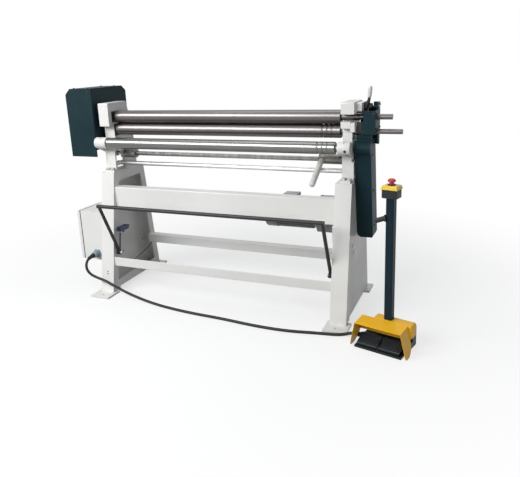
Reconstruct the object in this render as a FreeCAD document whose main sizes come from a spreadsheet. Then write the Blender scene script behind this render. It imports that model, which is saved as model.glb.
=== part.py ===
import FreeCAD, Part
import Sketcher
import math
import os
from types import SimpleNamespace

V = FreeCAD.Vector

# Electric plate rolling machine with three rolls on an open frame.
# X runs along the rolls, with the geared end at -X and the drive and release end at +X.
# The operator stands at -Y.  Z is up, and Z = 0 is the floor.
# While the pieces are drawn, Y = 0 is the plane of the two pinch rolls.  The placements then
# bring the origin to the middle of the four anchor holes at floor level.

doc = FreeCAD.newDocument("PlateRoll")
sheet = doc.addObject("Spreadsheet::Sheet", "Sizes")

SIZES = [
    ("working_length", 1270, "length of the pinch roll bodies"),
    ("roll_diameter", 68, "pinch roll diameter"),
    ("roll_gap", 0.4, "gap between the pinch rolls at rest"),
    ("roll_height", 1000, "height of the upper roll's axis"),
    ("bend_diameter", 60, "bending roll diameter"),
    ("bend_y", -94, "bending roll axis, forward of the pinch rolls"),
    ("bend_z", 863, "bending roll axis height"),
    ("pivot_y", 50, "cross shaft axis behind the pinch rolls"),
    ("pivot_z", 784, "cross shaft axis height"),
    ("neck_radius", 17.5, "pinch roll necks"),
    ("seat_radius", 15, "gear seats at the left ends"),
    ("upper_stub", 14, "radius of the upper roll's right end"),
    ("lower_stub", 13, "radius of the lower roll's right end"),
    ("running_fit", 0.05, "radial clearance of running necks"),
    ("sliding_fit", 0.3, "clearance of the sliding bearing blocks"),
    ("stand_inner", 643, "inner face of the stands"),
    ("stand_outer", 725, "outer face of the stands"),
    ("stand_top", 690, "height of the stands"),
    ("stand_wall", 8, "sheet of the stands"),
    ("front_top", -82, "front edge of a stand at the top"),
    ("front_foot", -200, "front edge of a stand at the foot"),
    ("rear_top", 212, "rear edge of a stand at the top"),
    ("rear_foot", 300, "rear edge of a stand at the foot"),
    ("foot_plate", 10, "thickness of the foot plates"),
    ("anchor_x", 684, "anchor holes from the middle"),
    ("anchor_front", -240, "front anchor holes"),
    ("anchor_rear", 330, "rear anchor holes"),
    ("anchor_radius", 7, "anchor hole radius"),
    ("beam_low", 482, "bottom of the front beam"),
    ("beam_high", 612, "top of the front beam"),
    ("beam_face", -90, "front face of the beam"),
    ("beam_depth", 55, "depth of the beam channel"),
    ("beam_wall", 6, "wall of the beam channel"),
    ("head_in_left", 648, "inner face of the left head"),
    ("head_in_right", 668, "inner face of the right head"),
    ("head_out_left", 712, "outer face of the left head"),
    ("head_out_right", 714, "outer face of the right head"),
    ("head_top", 1078, "top of the left head"),
    ("head_web", 16, "web of a head's column"),
    ("tie_y", 10, "tie rod axis"),
    ("tie_z", 734, "tie rod height"),
    ("tie_radius", 12, "tie rod"),
    ("tie_end", 7.5, "threaded ends of the tie rod"),
    ("shaft_radius", 12, "cross shaft"),
    ("cover_left", 909, "outer face of the gear cover"),
    ("cover_plate", 733, "inner face of the gear cover"),
    ("cover_low", 781, "bottom of the gear cover"),
    ("cover_high", 1162, "top of the gear cover"),
    ("cover_front", -95, "front of the gear cover"),
    ("cover_rear", 230, "rear of the gear cover"),
    ("sheet_wall", 3, "sheet of the covers"),
    ("gear_teeth", 17, "teeth of each roll gear"),
    ("gear_module", 4, "module of the roll gears"),
    ("gear_width", 30, "face width of the roll gears"),
    ("chain_pitch", 15.875, "pitch of the drive chain"),
    ("sprocket_teeth", 13, "teeth of both sprockets"),
    ("chain_x", 786, "plane of the drive chain"),
    ("drive_y", 60, "drive shaft behind the pinch rolls"),
    ("drive_z", 520, "height of the drive shaft"),
    ("block_in", 761, "inner face of the end block"),
    ("block_out", 827, "outer face of the end block"),
    ("guard_out", 806, "outer face of the chain cover"),
    ("drive_radius", 14, "drive shaft"),
    ("motor_y", 68, "motor axis behind the pinch rolls"),
    ("motor_z", 490, "motor axis height"),
    ("motor_radius", 78, "radius over the motor fins"),
    ("bar_y", -260, "trip bar at rest"),
    ("bar_z", 541, "trip bar height"),
    ("bar_radius", 10, "trip bar"),
    ("bar_pivot_y", -121, "trip bar pivots"),
    ("bar_pivot_z", 232, "height of the trip bar pivots"),
    ("cabinet_outer", 890.5, "outer face of the cabinet"),
    ("cabinet_front", -111, "front of the cabinet"),
    ("cabinet_rear", 94, "rear of the cabinet"),
    ("cabinet_low", 166, "bottom of the cabinet"),
    ("cabinet_high", 460, "top of the cabinet"),
    ("unit_x", 930, "foot control position"),
    ("unit_y", -330, "foot control position"),
    ("unit_turn", -14.5, "foot control turned about Z, degrees"),
    ("post_width", 36, "square post"),
    ("post_top", 691, "top of the post"),
    ("housing_top", 128, "top of the foot control housing"),
    ("cable_radius", 7.5, "foot control cable"),
]

for row, (alias, value, note) in enumerate(SIZES, 1):
    sheet.set("A%d" % row, alias)
    sheet.set("B%d" % row, str(value))
    sheet.setAlias("B%d" % row, alias)
    sheet.set("C%d" % row, note)
doc.recompute()


class Size:
    """A length with its number and the sheet expression that drives it."""

    def __init__(self, value, text):
        self.value = float(value)
        self.text = text

    def __add__(self, other):
        return Size(self.value + num(other), "(%s + %s)" % (self.text, words(other)))

    def __radd__(self, other):
        return Size(num(other) + self.value, "(%s + %s)" % (words(other), self.text))

    def __sub__(self, other):
        return Size(self.value - num(other), "(%s - %s)" % (self.text, words(other)))

    def __rsub__(self, other):
        return Size(num(other) - self.value, "(%s - %s)" % (words(other), self.text))

    def __mul__(self, other):
        return Size(self.value * num(other), "(%s * %s)" % (self.text, words(other)))

    __rmul__ = __mul__

    def __truediv__(self, other):
        return Size(self.value / num(other), "(%s / %s)" % (self.text, words(other)))

    def __neg__(self):
        return Size(-self.value, "(0 - %s)" % self.text)


def num(value):
    return value.value if isinstance(value, Size) else float(value)


def words(value):
    return value.text if isinstance(value, Size) else "(%s)" % repr(float(value))


D = SimpleNamespace(**{alias: Size(sheet.get(alias), "Sizes." + alias) for alias, _, _ in SIZES})
ORIGIN_Y = (D.anchor_front + D.anchor_rear) / 2

nodes = []
PLANES = {"XY": ("XY_Plane", 1), "XZ": ("XZ_Plane", -1), "YZ": ("YZ_Plane", 1)}


def bind(obj, prop, size):
    if isinstance(size, Size):
        obj.setExpression(prop, size.text)


def place(obj, base=(0, 0, 0), turn=0):
    """Put a finished sub-part in the part frame."""
    x, y, z = base
    y = y - ORIGIN_Y
    obj.Placement = FreeCAD.Placement(V(num(x), num(y), num(z)),
                                      FreeCAD.Rotation(V(0, 0, 1), num(turn)))
    for axis, size in zip("xyz", (x, y, z)):
        bind(obj, "Placement.Base." + axis, size)
    if isinstance(turn, Size):
        bind(obj, "Placement.Rotation.Angle", turn)
    nodes.append(obj)
    return obj


def new_body(label):
    body = doc.addObject("PartDesign::Body", label)
    body.Label = label
    return body


def locate(sk, geo, pos, point):
    """Hold a sketch point at its distances from the sketch origin."""
    for kind, axis, size in (("DistanceX", -2, point[0]), ("DistanceY", -1, point[1])):
        if abs(num(size)) < 1e-9:
            sk.addConstraint(Sketcher.Constraint("PointOnObject", geo, pos, axis))
        else:
            index = sk.addConstraint(Sketcher.Constraint(kind, -1, 1, geo, pos, num(size)))
            bind(sk, "Constraints[%d]" % index, size)


def draw(sk, loop):
    """Draw one closed loop: a list of corners, or a circle as (centre, radius)."""
    if isinstance(loop, tuple):
        centre, radius = loop
        geo = sk.addGeometry(Part.Circle(V(num(centre[0]), num(centre[1]), 0), V(0, 0, 1),
                                         num(radius)), False)
        locate(sk, geo, 3, centre)
        index = sk.addConstraint(Sketcher.Constraint("Radius", geo, num(radius)))
        bind(sk, "Constraints[%d]" % index, radius)
        return
    first = sk.GeometryCount
    count = len(loop)
    for i, point in enumerate(loop):
        after = loop[(i + 1) % count]
        sk.addGeometry(Part.LineSegment(V(num(point[0]), num(point[1]), 0),
                                        V(num(after[0]), num(after[1]), 0)), False)
    for i, point in enumerate(loop):
        sk.addConstraint(Sketcher.Constraint("Coincident", first + i, 2,
                                             first + (i + 1) % count, 1))
        locate(sk, first + i, 1, point)


def sketch(body, plane, loops, level=0, origin=(0, 0)):
    role, sign = PLANES[plane]
    sk = body.newObject("Sketcher::SketchObject", body.Name + "_sketch")
    support = [f for f in body.Origin.OriginFeatures if f.Role == role][0]
    sk.AttachmentSupport = [(support, "")]
    sk.MapMode = "FlatFace"
    level = level if sign > 0 else 0 - level if isinstance(level, Size) else -level
    sk.AttachmentOffset = FreeCAD.Placement(V(num(origin[0]), num(origin[1]), num(level)),
                                            FreeCAD.Rotation())
    for axis, size in zip("xyz", (origin[0], origin[1], level)):
        bind(sk, "AttachmentOffset.Base." + axis, size)
    for loop in loops:
        draw(sk, loop)
    return sk


def feature(body, kind, sk, prop=None, size=None, **settings):
    item = body.newObject("PartDesign::" + kind, body.Name + "_" + kind.lower())
    item.Profile = sk
    if prop:
        setattr(item, prop, num(size))
        bind(item, prop, size)
    for name, value in settings.items():
        setattr(item, name, value)
    body.Tip = item
    sk.Visibility = False
    return item


def pad(body, plane, loops, low, high):
    """Add a prism from low to high along the plane's normal."""
    level = low if PLANES[plane][1] > 0 else high
    return feature(body, "Pad", sketch(body, plane, loops, level), "Length", high - low)


def cut(body, plane, loops, low, high):
    """Remove a prism from low to high along the plane's normal."""
    level = high if PLANES[plane][1] > 0 else low
    return feature(body, "Pocket", sketch(body, plane, loops, level), "Length", high - low)


def turn(body, plane, axis, profile, origin=(0, 0), kind="Revolution", level=0):
    """Turn a half profile about the sketch's own H or V axis."""
    sk = sketch(body, plane, [profile], level, origin)
    return feature(body, kind, sk, "Angle", 360, ReferenceAxis=(sk, [axis + "_Axis"]))


def rect(x0, x1, y0, y1):
    return [(x0, y0), (x1, y0), (x1, y1), (x0, y1)]


def hexagon(x, y, flats):
    """A hexagon by its width across flats, with a corner on the first axis."""
    r = flats / math.sqrt(3)
    return [(x + r, y), (x + r / 2, y + flats / 2), (x - r / 2, y + flats / 2),
            (x - r, y), (x - r / 2, y - flats / 2), (x + r / 2, y - flats / 2)]


def span(side, inner, outer):
    """The X range between two distances from the middle, on one side."""
    return (inner, outer) if side > 0 else (-outer, -inner)


def dress(body, kind, prop, size, chosen, **settings):
    """Fillet, chamfer or hollow a body on the edges or faces that chosen() picks."""
    doc.recompute()
    base = body.Tip
    things = base.Shape.Faces if kind == "Thickness" else base.Shape.Edges
    word = "Face" if kind == "Thickness" else "Edge"
    names = [word + str(i) for i, thing in enumerate(things, 1) if chosen(thing)]
    item = body.newObject("PartDesign::" + kind, body.Name + "_" + kind.lower())
    item.Base = (base, names)
    setattr(item, prop, num(size))
    bind(item, prop, size)
    for name, value in settings.items():
        setattr(item, name, value)
    body.Tip = item
    return item


def along(axis, *near):
    """Picks straight edges along an axis, near any of the given points of the other two."""
    others = [i for i in range(3) if i != axis]

    def chosen(edge):
        if len(edge.Vertexes) != 2:
            return False
        a, b = (v.Point for v in edge.Vertexes)
        run = b - a
        if abs(abs(run[axis]) - run.Length) > 0.01:
            return False
        return not near or any(abs(a[others[0]] - num(p[0])) < 0.5
                               and abs(a[others[1]] - num(p[1])) < 0.5 for p in near)
    return chosen


def rounds(axis, level, radius=None):
    """Picks circular edges that lie in the plane axis = level."""
    def chosen(edge):
        if edge.Curve.TypeId != "Part::GeomCircle":
            return False
        if radius is not None and abs(edge.Curve.Radius - num(radius)) > 0.05:
            return False
        box = edge.BoundBox
        low = (box.XMin, box.YMin, box.ZMin)[axis]
        high = (box.XMax, box.YMax, box.ZMax)[axis]
        return abs(low - num(level)) < 0.05 and abs(high - num(level)) < 0.05
    return chosen


def made(label, shape, base=(0, 0, 0), turned=0):
    """A sub-part whose shape is computed here from the sheet's sizes."""
    obj = doc.addObject("Part::Feature", label)
    obj.Label = label
    obj.Shape = shape.removeSplitter()
    return place(obj, base, turned)


def rod(radius, start, end):
    """A plain cylinder between two points."""
    a = V(*[num(c) for c in start])
    b = V(*[num(c) for c in end])
    return Part.makeCylinder(num(radius), (b - a).Length, a, b - a)


def block(x0, x1, y0, y1, z0, z1):
    x0, x1, y0, y1, z0, z1 = [num(c) for c in (x0, x1, y0, y1, z0, z1)]
    return Part.makeBox(x1 - x0, y1 - y0, z1 - z0, V(x0, y0, z0))


def fused(shapes):
    return shapes[0].fuse(shapes[1:]) if len(shapes) > 1 else shapes[0]


def prism_yz(points, x0, x1):
    """A prism along X over corners given as (y, z)."""
    corners = [V(num(x0), num(y), num(z)) for y, z in points]
    face = Part.Face(Part.makePolygon(corners + corners[:1]))
    return face.extrude(V(num(x1) - num(x0), 0, 0))


def hex_head(point, direction, flats, height):
    """A hexagon bolt head seated at point, standing out in the given direction."""
    r = flats / math.sqrt(3)
    ring = [V(r * math.cos(math.radians(60 * k)), r * math.sin(math.radians(60 * k)), 0)
            for k in range(6)]
    head = Part.Face(Part.makePolygon(ring + ring[:1])).extrude(V(0, 0, height))
    head.Placement = FreeCAD.Placement(V(*[num(c) for c in point]),
                                       FreeCAD.Rotation(V(0, 0, 1), V(*direction)))
    return head


# The two stands: folded trays, web outward, with a lip round the inner opening.

def front_edge(z):
    return D.front_top + (D.front_foot - D.front_top) * (D.stand_top - z) / (D.stand_top - D.foot_plate)


def rear_edge(z):
    return D.rear_top + (D.rear_foot - D.rear_top) * (D.stand_top - z) / (D.stand_top - D.foot_plate)


def stand(label, side):
    body = new_body(label)
    wall = D.stand_wall
    foot, arch, leg = D.foot_plate, 25, 70
    outline = [(front_edge(D.stand_top), D.stand_top), (rear_edge(D.stand_top), D.stand_top),
               (rear_edge(foot), foot), (rear_edge(foot) - leg, foot),
               (rear_edge(foot) - leg, arch), (front_edge(foot) + leg, arch),
               (front_edge(foot) + leg, foot), (front_edge(foot), foot)]
    pad(body, "YZ", [outline], *span(side, D.stand_inner, D.stand_outer))
    high, low = D.stand_top - wall, arch + wall
    cut(body, "YZ", [[(front_edge(high) + wall, high), (rear_edge(high) - wall, high),
                      (rear_edge(low) - wall, low), (front_edge(low) + wall, low)]],
        *span(side, D.stand_inner + wall, D.stand_outer - wall))
    high, low = D.stand_top - 50, 67
    cut(body, "YZ", [[(front_edge(high) + 48, high), (rear_edge(high) - 44, high),
                      (rear_edge(low) - 44, low), (front_edge(low) + 48, low)]],
        *span(side, D.stand_inner, D.stand_inner + wall))
    near, far = span(side, D.stand_inner - 17, D.stand_outer + 20)
    pad(body, "XY", [rect(near, far, -275, -165)], 0, foot)
    pad(body, "XY", [rect(near, far, 250, 360)], 0, foot)
    holes = [((side * D.anchor_x, y), D.anchor_radius) for y in (D.anchor_front, D.anchor_rear)]
    cut(body, "XY", holes, 0, foot)
    pivot = (D.bar_pivot_y, D.bar_pivot_z)
    pad(body, "YZ", [(pivot, 6)], *span(side, 611, D.stand_inner))
    pad(body, "YZ", [(pivot, 10)], *span(side, 611, 618.5))
    if side > 0:
        cut(body, "YZ", [((D.drive_y, D.drive_z), D.drive_radius + 6)],
            D.stand_outer - wall, D.stand_outer)
    return place(body)


stand("left_stand", -1)
stand("right_stand", 1)

# Beam and rails between the stands.
beam = new_body("front_beam")
rear = D.beam_face + D.beam_depth
pad(beam, "YZ", [[(D.beam_face, D.beam_low), (rear, D.beam_low),
                  (rear, D.beam_low + D.beam_wall),
                  (D.beam_face + D.beam_wall, D.beam_low + D.beam_wall),
                  (D.beam_face + D.beam_wall, D.beam_high - D.beam_wall),
                  (rear, D.beam_high - D.beam_wall),
                  (rear, D.beam_high), (D.beam_face, D.beam_high)]],
    -D.stand_inner, D.stand_inner)
dress(beam, "Fillet", "Radius", 6, along(0, (D.beam_face, D.beam_low), (D.beam_face, D.beam_high)))
place(beam)

for label, y0, y1, z0, z1 in (("lower_front_rail", -160, -110, 162, 216),
                              ("lower_rear_rail", 202, 252, 191, 241)):
    rail = new_body(label)
    pad(rail, "YZ", [rect(y0, y1, z0, z1), rect(y0 + 4, y1 - 4, z0 + 4, z1 - 4)],
        -D.stand_inner, D.stand_inner)
    place(rail)

# Cast heads.  Each column is a web with a front and a rear flange, open to the outside.
LOWER_Z = D.roll_height - D.roll_diameter - D.roll_gap
COLUMN = [(-72, D.stand_top), (-72, D.stand_top + 14), (-48, D.stand_top + 14), (-46, 850),
          (-30, 872), (-30, 946), (-71, 952)]
REAR = [(117, 1023), (145, 880), (159, 774), (153, D.stand_top + 14), (182, D.stand_top + 14),
        (182, D.stand_top)]


def head(label, side):
    body = new_body(label)
    inner = D.head_in_left if side < 0 else D.head_in_right
    outer = D.head_out_left if side < 0 else D.head_out_right
    top = D.head_top if side < 0 else D.head_top - 6
    pad(body, "YZ", [COLUMN + [(-71, top), (103, top)] + REAR], *span(side, inner, outer))
    if side > 0:
        pad(body, "YZ", [rect(-71, 100, D.roll_height + 18, top)], outer, 732)
        pad(body, "YZ", [rect(-42, 58, D.roll_height + 18, top - 4)], 732, D.block_in)
        pad(body, "YZ", [rect(-48, -36, D.stand_top, 790)], outer, D.stand_outer)
    web = inner + D.head_web
    floor = D.stand_top + 8
    cut(body, "YZ", [[(-36, floor), (-36, 826), (132, 826), (134, floor)]], *span(side, web, outer))
    cut(body, "YZ", [((D.pivot_y, D.pivot_z), D.shaft_radius + D.running_fit)],
        *span(side, inner, web))
    cut(body, "YZ", [[(-36, 745), (-36, 808), (28, 808), (28, 765), (40, 758), (40, 745)],
                     [(-36, floor), (-36, 723), (44, 723), (44, floor)],
                     ((D.tie_y, D.tie_z), D.tie_end + 0.3)],
        *span(side, inner, web))
    cut(body, "YZ", [rect(-28 - D.sliding_fit, 28 + D.sliding_fit, 893, 960)],
        *span(side, inner, outer))
    cut(body, "XY", [((side * SCREW_X[side], 0), 8.15)], 820, 895)
    if side < 0:
        cut(body, "YZ", [rect(-43, 43, D.roll_height - 31, D.roll_height + 31)],
            *span(side, inner, outer))
    else:
        reach = D.neck_radius + D.running_fit
        cut(body, "YZ", [((0, D.roll_height), reach)], inner, 732)
        cut(body, "YZ", [rect(-75, 0, D.roll_height - reach, D.roll_height + reach)], inner, 732)
    dress(body, "Fillet", "Radius", 7, along(0, (-71, top)))
    return place(body)


SCREW_X = {-1: 690, 1: 698}
SPACERS = [(85, 1050), (-52, 1056), (128, 866)]
head("left_head", -1)
head("right_head", 1)

# Tie rod, and the frame's fasteners: tie rod nuts, head bolts and web bolts.
HEAD_BOLT_X = (-696, -664, 678, 704)
SIDE_BOLTS = [(-60, 372), (-36, 333)]

tie = new_body("tie_rod")
left, right = -D.head_in_left, D.head_in_right
profile = [(left - 40, 0), (left - 40, D.tie_end), (left + 14, D.tie_end), (left + 14, D.tie_radius),
           (right - 14, D.tie_radius), (right - 14, D.tie_end), (right + 40, D.tie_end),
           (right + 40, 0)]
turn(tie, "XZ", "H", profile, (0, D.tie_z), level=D.tie_y)
place(tie)


def nut(x0, x1):
    r = 11 * 2 / math.sqrt(3)
    y, z = num(D.tie_y), num(D.tie_z)
    ring = [(y + r * math.cos(math.radians(60 * k)), z + r * math.sin(math.radians(60 * k)))
            for k in range(6)]
    body = prism_yz(ring, x0, x1)
    return body.cut(rod(D.tie_end, (x0, y, z), (x1, y, z)))


web = D.head_web
fasteners = [nut(left, left + 12), nut(left - web - 12, left - web), nut(right - 12, right),
             nut(right + web, right + web + 12)]
for x in HEAD_BOLT_X:
    for y in (-60, 168):
        fasteners.append(hex_head((x, y, D.stand_top + 14), (0, 0, 1), 18, 8))
for y, z in SIDE_BOLTS:
    fasteners.append(hex_head((D.stand_outer, y, z), (1, 0, 0), 13, 6))
made("frame_fasteners", Part.makeCompound(fasteners))

# Bearing blocks.  The upper left one is fixed, the lower pair slides down to open the gap.
upper_bearing = new_body("upper_bearing")
pad(upper_bearing, "YZ", [rect(-43, 43, D.roll_height - 31, D.roll_height + 31),
                          ((0, D.roll_height), D.neck_radius + D.running_fit)],
    4 - D.head_out_left, -D.head_in_left - 8)
place(upper_bearing)

for side, label in ((-1, "lower_bearing_left"), (1, "lower_bearing_right")):
    inner = D.head_in_left if side < 0 else D.head_in_right
    outer = D.head_out_left if side < 0 else D.head_out_right
    bearing = new_body(label)
    pad(bearing, "YZ", [rect(-28, 28, 905, 957), ((0, LOWER_Z), D.neck_radius + D.running_fit)],
        *span(side, inner + 4, outer - 2))
    place(bearing)

for side, label in ((-1, "pinch_screw_left"), (1, "pinch_screw_right")):
    screw = new_body(label)
    x = side * SCREW_X[side]
    pad(screw, "XY", [hexagon(x, 0, 22)], 805, 819)
    pad(screw, "XY", [((x, 0), 8)], 819, 905)
    place(screw)

# The pinch rolls and the bending roll, turned from solid bar.
half = D.working_length / 2
big = D.roll_diameter / 2


def grooves(body, z, radius, level=0):
    """Three wire grooves near the right end of a roll, each a half hexagon in section."""
    loops = []
    for x, r in ((70, 6), (45, 5), (22, 4)):
        middle = half - x
        loops.append([(middle - r, radius + 1), (middle - r, radius), (middle - r / 2, radius - 0.87 * r),
                      (middle + r / 2, radius - 0.87 * r), (middle + r, radius), (middle + r, radius + 1)])
    sk = sketch(body, "XZ", loops, level, (0, z))
    return feature(body, "Groove", sk, "Angle", 360, ReferenceAxis=(sk, ["H_Axis"]))


def roll_profile(reach, stub):
    return [(-778, 0), (-778, D.seat_radius), (-740, D.seat_radius), (-740, D.neck_radius),
            (-half, D.neck_radius), (-half, big), (half, big), (half, D.neck_radius),
            (742, D.neck_radius), (742, stub), (D.block_out + 1, stub),
            (D.block_out + 1, stub - 1), (reach, stub - 1), (reach, 0)]


upper_roll = new_body("upper_roll")
turn(upper_roll, "XZ", "H", roll_profile(897, D.upper_stub), (0, D.roll_height))
place(upper_roll)

lower_roll = new_body("lower_roll")
turn(lower_roll, "XZ", "H", roll_profile(944, D.lower_stub), (0, LOWER_Z))
grooves(lower_roll, LOWER_Z, big)
place(lower_roll)

bend = D.bend_diameter / 2
bending_roll = new_body("bending_roll")
turn(bending_roll, "XZ", "H",
     [(-717, 0), (-717, 15), (-645, 15), (-645, bend), (650, bend), (650, 15), (716, 15), (716, 0)],
     (0, D.bend_z), level=D.bend_y)
grooves(bending_roll, D.bend_z, bend, D.bend_y)
place(bending_roll)

# Roll gears: involute teeth, so the pair turns at any angle without touching twice.

def involute_gear(teeth, module, tooth_angle, slack=0.3):
    """Corners of a spur gear round its own axis, with one tooth centred on tooth_angle."""
    pitch = module * teeth / 2
    base = pitch * math.cos(math.radians(20))
    tip, root = pitch + module, pitch - 1.25 * module
    half_tooth = (math.pi * module / 2 - slack) / 2 / pitch

    def roll_angle(radius):
        turned = math.acos(min(1.0, base / radius))
        return math.tan(turned) - turned
    radii = [root] + [base + (tip - base) * k / 2 for k in range(3)]
    points = []
    for tooth in range(teeth):
        middle = math.radians(tooth_angle) + 2 * math.pi * tooth / teeth
        flank = []
        for radius in radii:
            inv = roll_angle(max(radius, base)) - roll_angle(pitch)
            flank.append((radius, half_tooth - inv))
        for radius, lean in flank:
            points.append((radius * math.cos(middle - lean), radius * math.sin(middle - lean)))
        for radius, lean in reversed(flank):
            points.append((radius * math.cos(middle + lean), radius * math.sin(middle + lean)))
    return points


def gear(label, z, tooth_angle):
    teeth, module = int(num(D.gear_teeth)), num(D.gear_module)
    corners = [(y, num(z) + up) for y, up in involute_gear(teeth, module, tooth_angle)]
    rim = prism_yz(corners, -770, -770 + D.gear_width)
    bore = rod(D.seat_radius, (-771, 0, z), (-739, 0, z))
    return made(label, rim.cut(bore))


pitch_angle = 360 / num(D.gear_teeth)
gear("upper_gear", D.roll_height, -90)
gear("lower_gear", LOWER_Z, 90 + pitch_angle / 2)

CHAIN_RADIUS = num(D.chain_pitch) / 2 / math.sin(math.pi / num(D.sprocket_teeth))

# Guard over the gears, its back plate on three spacers, and the tall cover over the chain.
plate = new_body("gear_back_plate")
wall = D.sheet_wall
pad(plate, "YZ", [[(D.cover_front + wall, 840), (D.cover_front + wall, D.cover_high - wall),
                   (192, D.cover_high - wall), (D.cover_rear - wall, 1132.5), (D.cover_rear - wall, 840)],
                  ((0, D.roll_height), 21), ((0, LOWER_Z), 24)],
    -D.cover_plate - wall, -D.cover_plate)
pad(plate, "YZ", [hexagon(y, z, 18) for y, z in SPACERS], -D.cover_plate, -D.head_out_left)
place(plate)

cover = new_body("gear_cover")
pad(cover, "YZ", [[(D.cover_front, D.cover_low), (D.cover_front, D.cover_high),
                   (194, D.cover_high), (D.cover_rear, 1134), (D.cover_rear, D.cover_low)]],
    -D.cover_left, -D.cover_plate)
cut(cover, "XZ", [[(-D.cover_left - 1, D.cover_high - 33), (-D.cover_left - 1, D.cover_high + 1),
                   (33 - D.cover_left, D.cover_high + 1)]],
    D.cover_front - 1, D.cover_rear + 1)
dress(cover, "Thickness", "Value", wall,
      lambda face: abs(face.CenterOfMass.x + num(D.cover_plate)) < 0.01
      or abs(face.CenterOfMass.z - num(D.cover_low)) < 0.01, Reversed=True, Join=1)
place(cover)

# The chain cover leans back with the chain: an open-backed tray against the stand's outer face.
roll_z, stub = num(D.roll_height), num(D.upper_stub)
axis_low, axis_high = V(0, num(D.drive_y), num(D.drive_z)), V(0, 0, num(LOWER_Z))
chain_up = V(axis_high - axis_low).normalize()
chain_back = V(0, chain_up.z, -chain_up.y)


def by_chain(height, offset):
    """A (y, z) point beside the line of the two wheel axes, by its height and its offset to the back."""
    at = axis_low + chain_up * ((height - axis_low.z) / chain_up.z) + chain_back * offset
    return at.y, at.z


cover_top = num(LOWER_Z) - 42
tall = new_body("chain_cover")
pad(tall, "YZ", [[(22, 432), (-52, cover_top), (52, cover_top), by_chain(840, 46), by_chain(432, 46)]],
    D.stand_outer, D.guard_out)
cut(tall, "XZ", [[(D.stand_outer - 1, 462), (D.stand_outer - 1, 425), (D.stand_outer + 22, 425)]], 0, 125)
dress(tall, "Fillet", "Radius", 30, along(0, (-52, cover_top)))
dress(tall, "Thickness", "Value", wall,
      lambda face: abs(face.CenterOfMass.x - num(D.stand_outer)) < 0.01, Reversed=True, Join=1)
cut(tall, "XY", [rect(D.chain_x - 11, D.chain_x + 11, -40, 48)], cover_top - 24, cover_top)
pad(tall, "YZ", [[by_chain(690, CHAIN_RADIUS + 7), by_chain(770, CHAIN_RADIUS + 7), by_chain(770, 45),
                  by_chain(690, 45)]], D.chain_x - 8.5, D.guard_out - wall)
place(tall)

# End block on the right: it carries the release gate and covers the upper sprocket.
end_block = new_body("end_block")
block_in, block_out, plate = D.block_in, D.block_out, 8
pad(end_block, "XY", [rect(block_in, block_out, -52, 60)], 922, 1031)
pad(end_block, "XY", [rect(block_in, block_out, 10, 60)], 1031, 1066)
pad(end_block, "YZ", [[(10, 922), (14, 880), (26, 868), (40, 868), (46, 922)]], block_out - plate, block_out)
cut(end_block, "XY", [rect(block_in + plate, block_out - plate, -44, 52)], 922, 1066)
cut(end_block, "YZ", [((0, LOWER_Z), 24), ((0, D.roll_height), 20)], block_in, block_in + plate)
cut(end_block, "YZ", [rect(-52, 0, D.roll_height - 20, D.roll_height + 20)], block_in, block_in + plate)
cut(end_block, "YZ", [((0, LOWER_Z), 18), ((0, D.roll_height), 17)], block_out - plate, block_out)
cut(end_block, "XZ", [rect(block_in + plate, 797, 1048, 1067)], 51, 61)
pad(end_block, "YZ", [hexagon(44, 940, 16)], D.head_out_right, block_in)
pad(end_block, "YZ", [((28, 1044), 6)], block_in + plate, block_out - plate)
place(end_block)


def ring_sector(cy, cz, inner, outer, start, end, steps=9):
    """Corners of a ring sector round (cy, cz), in degrees from +Y towards +Z."""
    arc = [math.radians(start + (end - start) * k / steps) for k in range(steps + 1)]
    far = [(cy + outer * math.cos(a), cz + outer * math.sin(a)) for a in arc]
    near = [(cy + inner * math.cos(a), cz + inner * math.sin(a)) for a in reversed(arc)]
    return far + near


gate_in, gate_out = 771, 785
hook = prism_yz(ring_sector(0, roll_z, stub + 0.5, stub + 10, 86, 190), gate_in, gate_out)
link = prism_yz([(0, roll_z + 17), (0, roll_z + 27), (22, 1058), (37, 1052), (32, 1030)], gate_in, gate_out)
boss = rod(13, (gate_in, 28, 1044), (gate_out + 8, 28, 1044))
knee, tip = V(781, 24, 1080), V(789, 17, 1141)
up = (tip - knee).normalize()
arm = [rod(6, (779, 27, 1054), knee), rod(7, knee - up * 4, knee + up * 14)]
gate = fused([hook, link, boss] + arm).cut(rod(6.1, (740, 28, 1044), (820, 28, 1044)))
made("release_gate", gate)
made("release_lever", rod(9.5, knee + up * 8, tip).cut(gate))

# Cross shaft with its collars, the swing arms that carry the bending roll, and the hand lever.
cross_shaft = new_body("cross_shaft")
pad(cross_shaft, "YZ", [((D.pivot_y, D.pivot_z), D.shaft_radius)], -724, 722)
place(cross_shaft)


def hull_plate(c1, r1, c2, r2, x0, x1):
    """A plate along X whose outline wraps two circles, given as (y, z) and radius."""
    (y1, z1), (y2, z2) = c1, c2
    run = math.hypot(y2 - y1, z2 - z1)
    base = math.atan2(z2 - z1, y2 - y1)
    lean = math.acos((r1 - r2) / run)
    corners = []
    for (cy, cz), r, sign in ((c1, r1, 1), (c2, r2, 1), (c2, r2, -1), (c1, r1, -1)):
        corners.append((cy + r * math.cos(base + sign * lean), cz + r * math.sin(base + sign * lean)))
    body = prism_yz(corners, x0, x1)
    return fused([body, rod(r1, (x0, y1, z1), (x1, y1, z1)), rod(r2, (x0, y2, z2), (x1, y2, z2))])


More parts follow.
